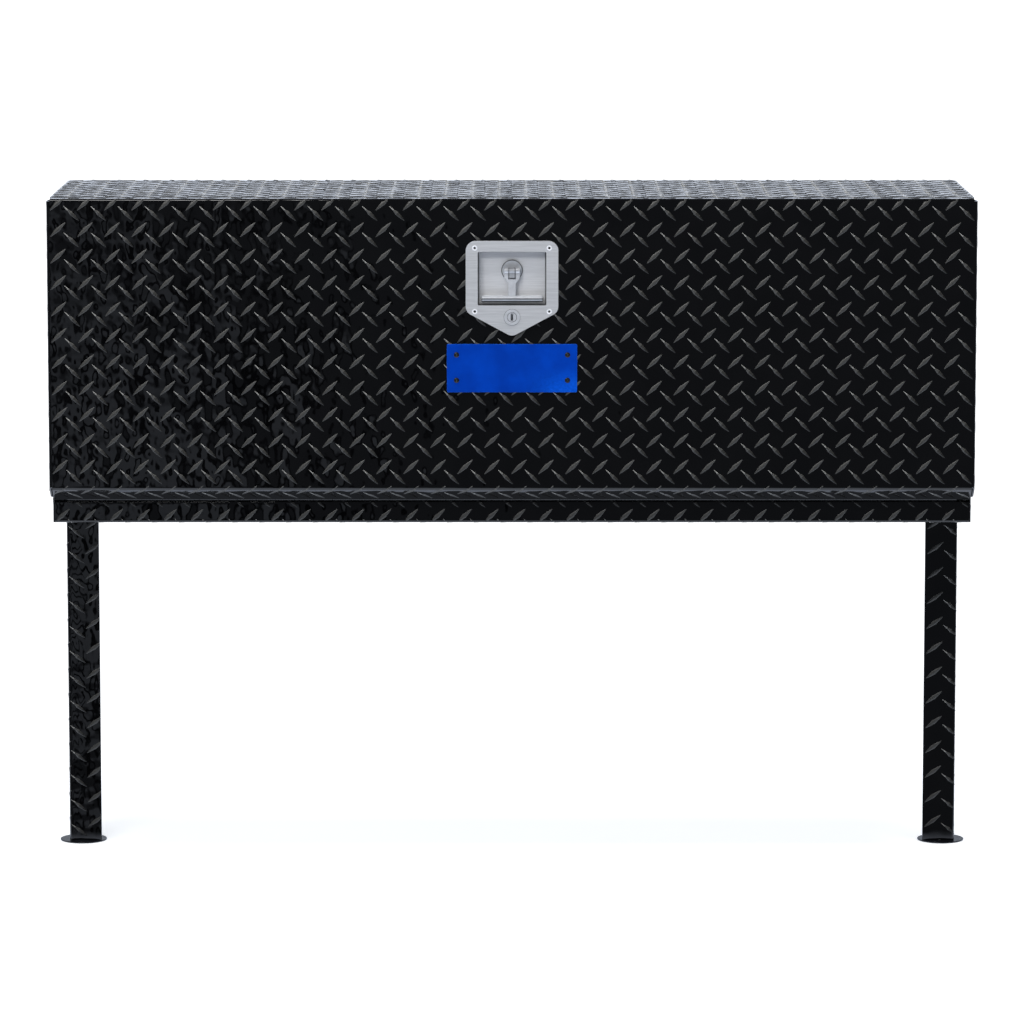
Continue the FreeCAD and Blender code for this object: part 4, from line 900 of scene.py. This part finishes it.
floor_tint = add_node(floor_tree, "ShaderNodeMix", {
    "Factor": seen["Is Glossy Ray"], "A": (0.95, 0.975, 1.0, 1), "B": (0.76, 0.86, 1.1, 1)},
    data_type="RGBA")
floor_tree.links.new(floor_tint.outputs["Result"], floor_shader.inputs["Emission Color"])
floor_place = add_node(floor_tree, "ShaderNodeTexCoord")
floor_axes = add_node(floor_tree, "ShaderNodeSeparateXYZ",
                      {0: floor_place.outputs["Object"]}).outputs
floor_aside = math_in(floor_tree, "ABSOLUTE", floor_axes["X"])
front_edge = smooth_change(floor_tree, floor_axes["Y"], -0.01, 0.06)
back_edge = smooth_change(floor_tree, floor_axes["Y"], 1.3, 0.7)
side_edges = smooth_change(floor_tree, floor_aside, 1.45, 0.95)
there = math_in(floor_tree, "MULTIPLY", math_in(floor_tree, "MULTIPLY", front_edge, back_edge),
                side_edges)
clear = add_node(floor_tree, "ShaderNodeBsdfTransparent")
faded = add_node(floor_tree, "ShaderNodeMixShader", {
    "Fac": there, 1: clear.outputs[0], 2: floor_shader.outputs[0]})
floor_tree.links.new(faded.outputs[0], floor_tree.nodes["Material Output"].inputs["Surface"])
floor_mesh.materials.append(floor_paint)

room = bpy.data.worlds.new("studio")
bpy.context.scene.world = room
room.use_nodes = True
room_tree = room.node_tree
looking = add_node(room_tree, "ShaderNodeTexCoord").outputs["Generated"]
axes = add_node(room_tree, "ShaderNodeSeparateXYZ", {0: looking}).outputs


def room_range(value, low, high, start, end):
    """A smooth change in the room's light."""
    return smooth_change(room_tree, value, low, high, start, end)


def times(first, second):
    """One share or level of the room's light times another."""
    return math_in(room_tree, "MULTIPLY", first, second)


# A dim card in front of the box, with a slanting window at the left whose bars break up its edge.
aside = math_in(room_tree, "ABSOLUTE", axes["X"])
card_side = room_range(aside, 0.2, 0.3, 1.0, 0.0)
card_front = room_range(axes["Y"], -0.8, -0.6, 1.0, 0.0)
card_top = room_range(axes["Z"], 0.08, 0.2, 1.0, 0.0)
card_foot = room_range(axes["Z"], -0.42, -0.3, 0.0, 1.0)
card = times(times(card_side, card_front), times(card_top, card_foot))
slant = math_in(room_tree, "ADD", axes["X"], times(axes["Z"], 0.3))
window_foot = room_range(axes["Z"], -0.19, -0.165, 0.0, 1.0)
window_head = room_range(axes["Z"], -0.075, -0.12, 0.45, 1.0)
window = times(room_range(slant, -0.09, -0.098, 0.0, 1.0), times(window_foot, window_head))
near_window = room_range(slant, -0.062, -0.08, 0.0, 1.0)
bars = add_node(room_tree, "ShaderNodeTexWave", {"Vector": looking, "Scale": 7.0,
                                                 "Distortion": 1.5})
panes = room_range(bars.outputs["Fac"], 0.16, 0.28, 0.0, 1.0)
open_panes = add_node(room_tree, "ShaderNodeMix", {"Factor": near_window, "A": 1.0, "B": panes})
dim = add_node(room_tree, "ShaderNodeMapRange", {"Value": window, "To Min": 0.11,
                                                 "To Max": 0.43})
card_level = times(dim.outputs[0], open_panes.outputs["Result"])

# Behind the box a wall that is bright low down, which the roof mirrors, and pale ground.
behind = room_range(axes["Y"], -0.1, 0.4, 0.0, 1.0)
wall_top = room_range(axes["Z"], 0.06, 0.2, 1.3, 0.33)
ground = room_range(axes["Z"], -0.5, -0.4, 1.5, 0.1)
around = math_in(room_tree, "MAXIMUM", times(behind, wall_top), ground)
level = add_node(room_tree, "ShaderNodeMix", {"Factor": card, "A": around, "B": card_level})
path = add_node(room_tree, "ShaderNodeLightPath").outputs
shown_white = math_in(room_tree, "MAXIMUM", path["Is Camera Ray"], path["Is Transmission Ray"])
strength = math_in(room_tree, "MAXIMUM", level.outputs["Result"], shown_white)
tint = add_node(room_tree, "ShaderNodeMix", {
    "Factor": shown_white, "A": (0.80, 0.87, 1.0, 1), "B": (1, 1, 1, 1)}, data_type="RGBA")
background = room_tree.nodes["Background"]
room_tree.links.new(tint.outputs["Result"], background.inputs["Color"])
room_tree.links.new(strength, background.inputs["Strength"])


def soft_lamp(name, place, toward, width, height, watts, mirrored=True):
    """A soft box that hangs in the studio and points at the tool box. It may be flagged off, so
    that the gloss coat doesn't mirror it."""
    light = bpy.data.lights.new(name, "AREA")
    light.shape = "RECTANGLE"
    light.size = width
    light.size_y = height
    light.energy = watts
    lamp = bpy.data.objects.new(name, light)
    lamp.location = place
    lamp.visible_glossy = mirrored
    lamp.rotation_euler = (Vector(toward) - Vector(place)).to_track_quat("-Z", "Y").to_euler()
    in_scene(lamp)


soft_lamp("top_lamp", (0.0, -0.6, 3.2), (0.0, 0.0, 0.6), 2.6, 1.4, 100, mirrored=False)
soft_lamp("front_lamp", (-1.2, -3.0, 2.8), (0.0, -0.1, 0.6), 1.6, 0.9, 50)

eye = bpy.data.cameras.new("camera")
eye.lens = 192.03
eye.sensor_width = 36
camera = in_scene(bpy.data.objects.new("camera", eye))
camera.location = (0, -7.2969, 1.4410)
camera.rotation_euler = (math.radians(90 - 7.6246), 0, 0)
bpy.context.scene.camera = camera
bpy.context.scene.view_settings.view_transform = "Standard"

for lug in (rising_lug, falling_lug, *leg_lugs):
    bpy.data.objects.remove(lug)
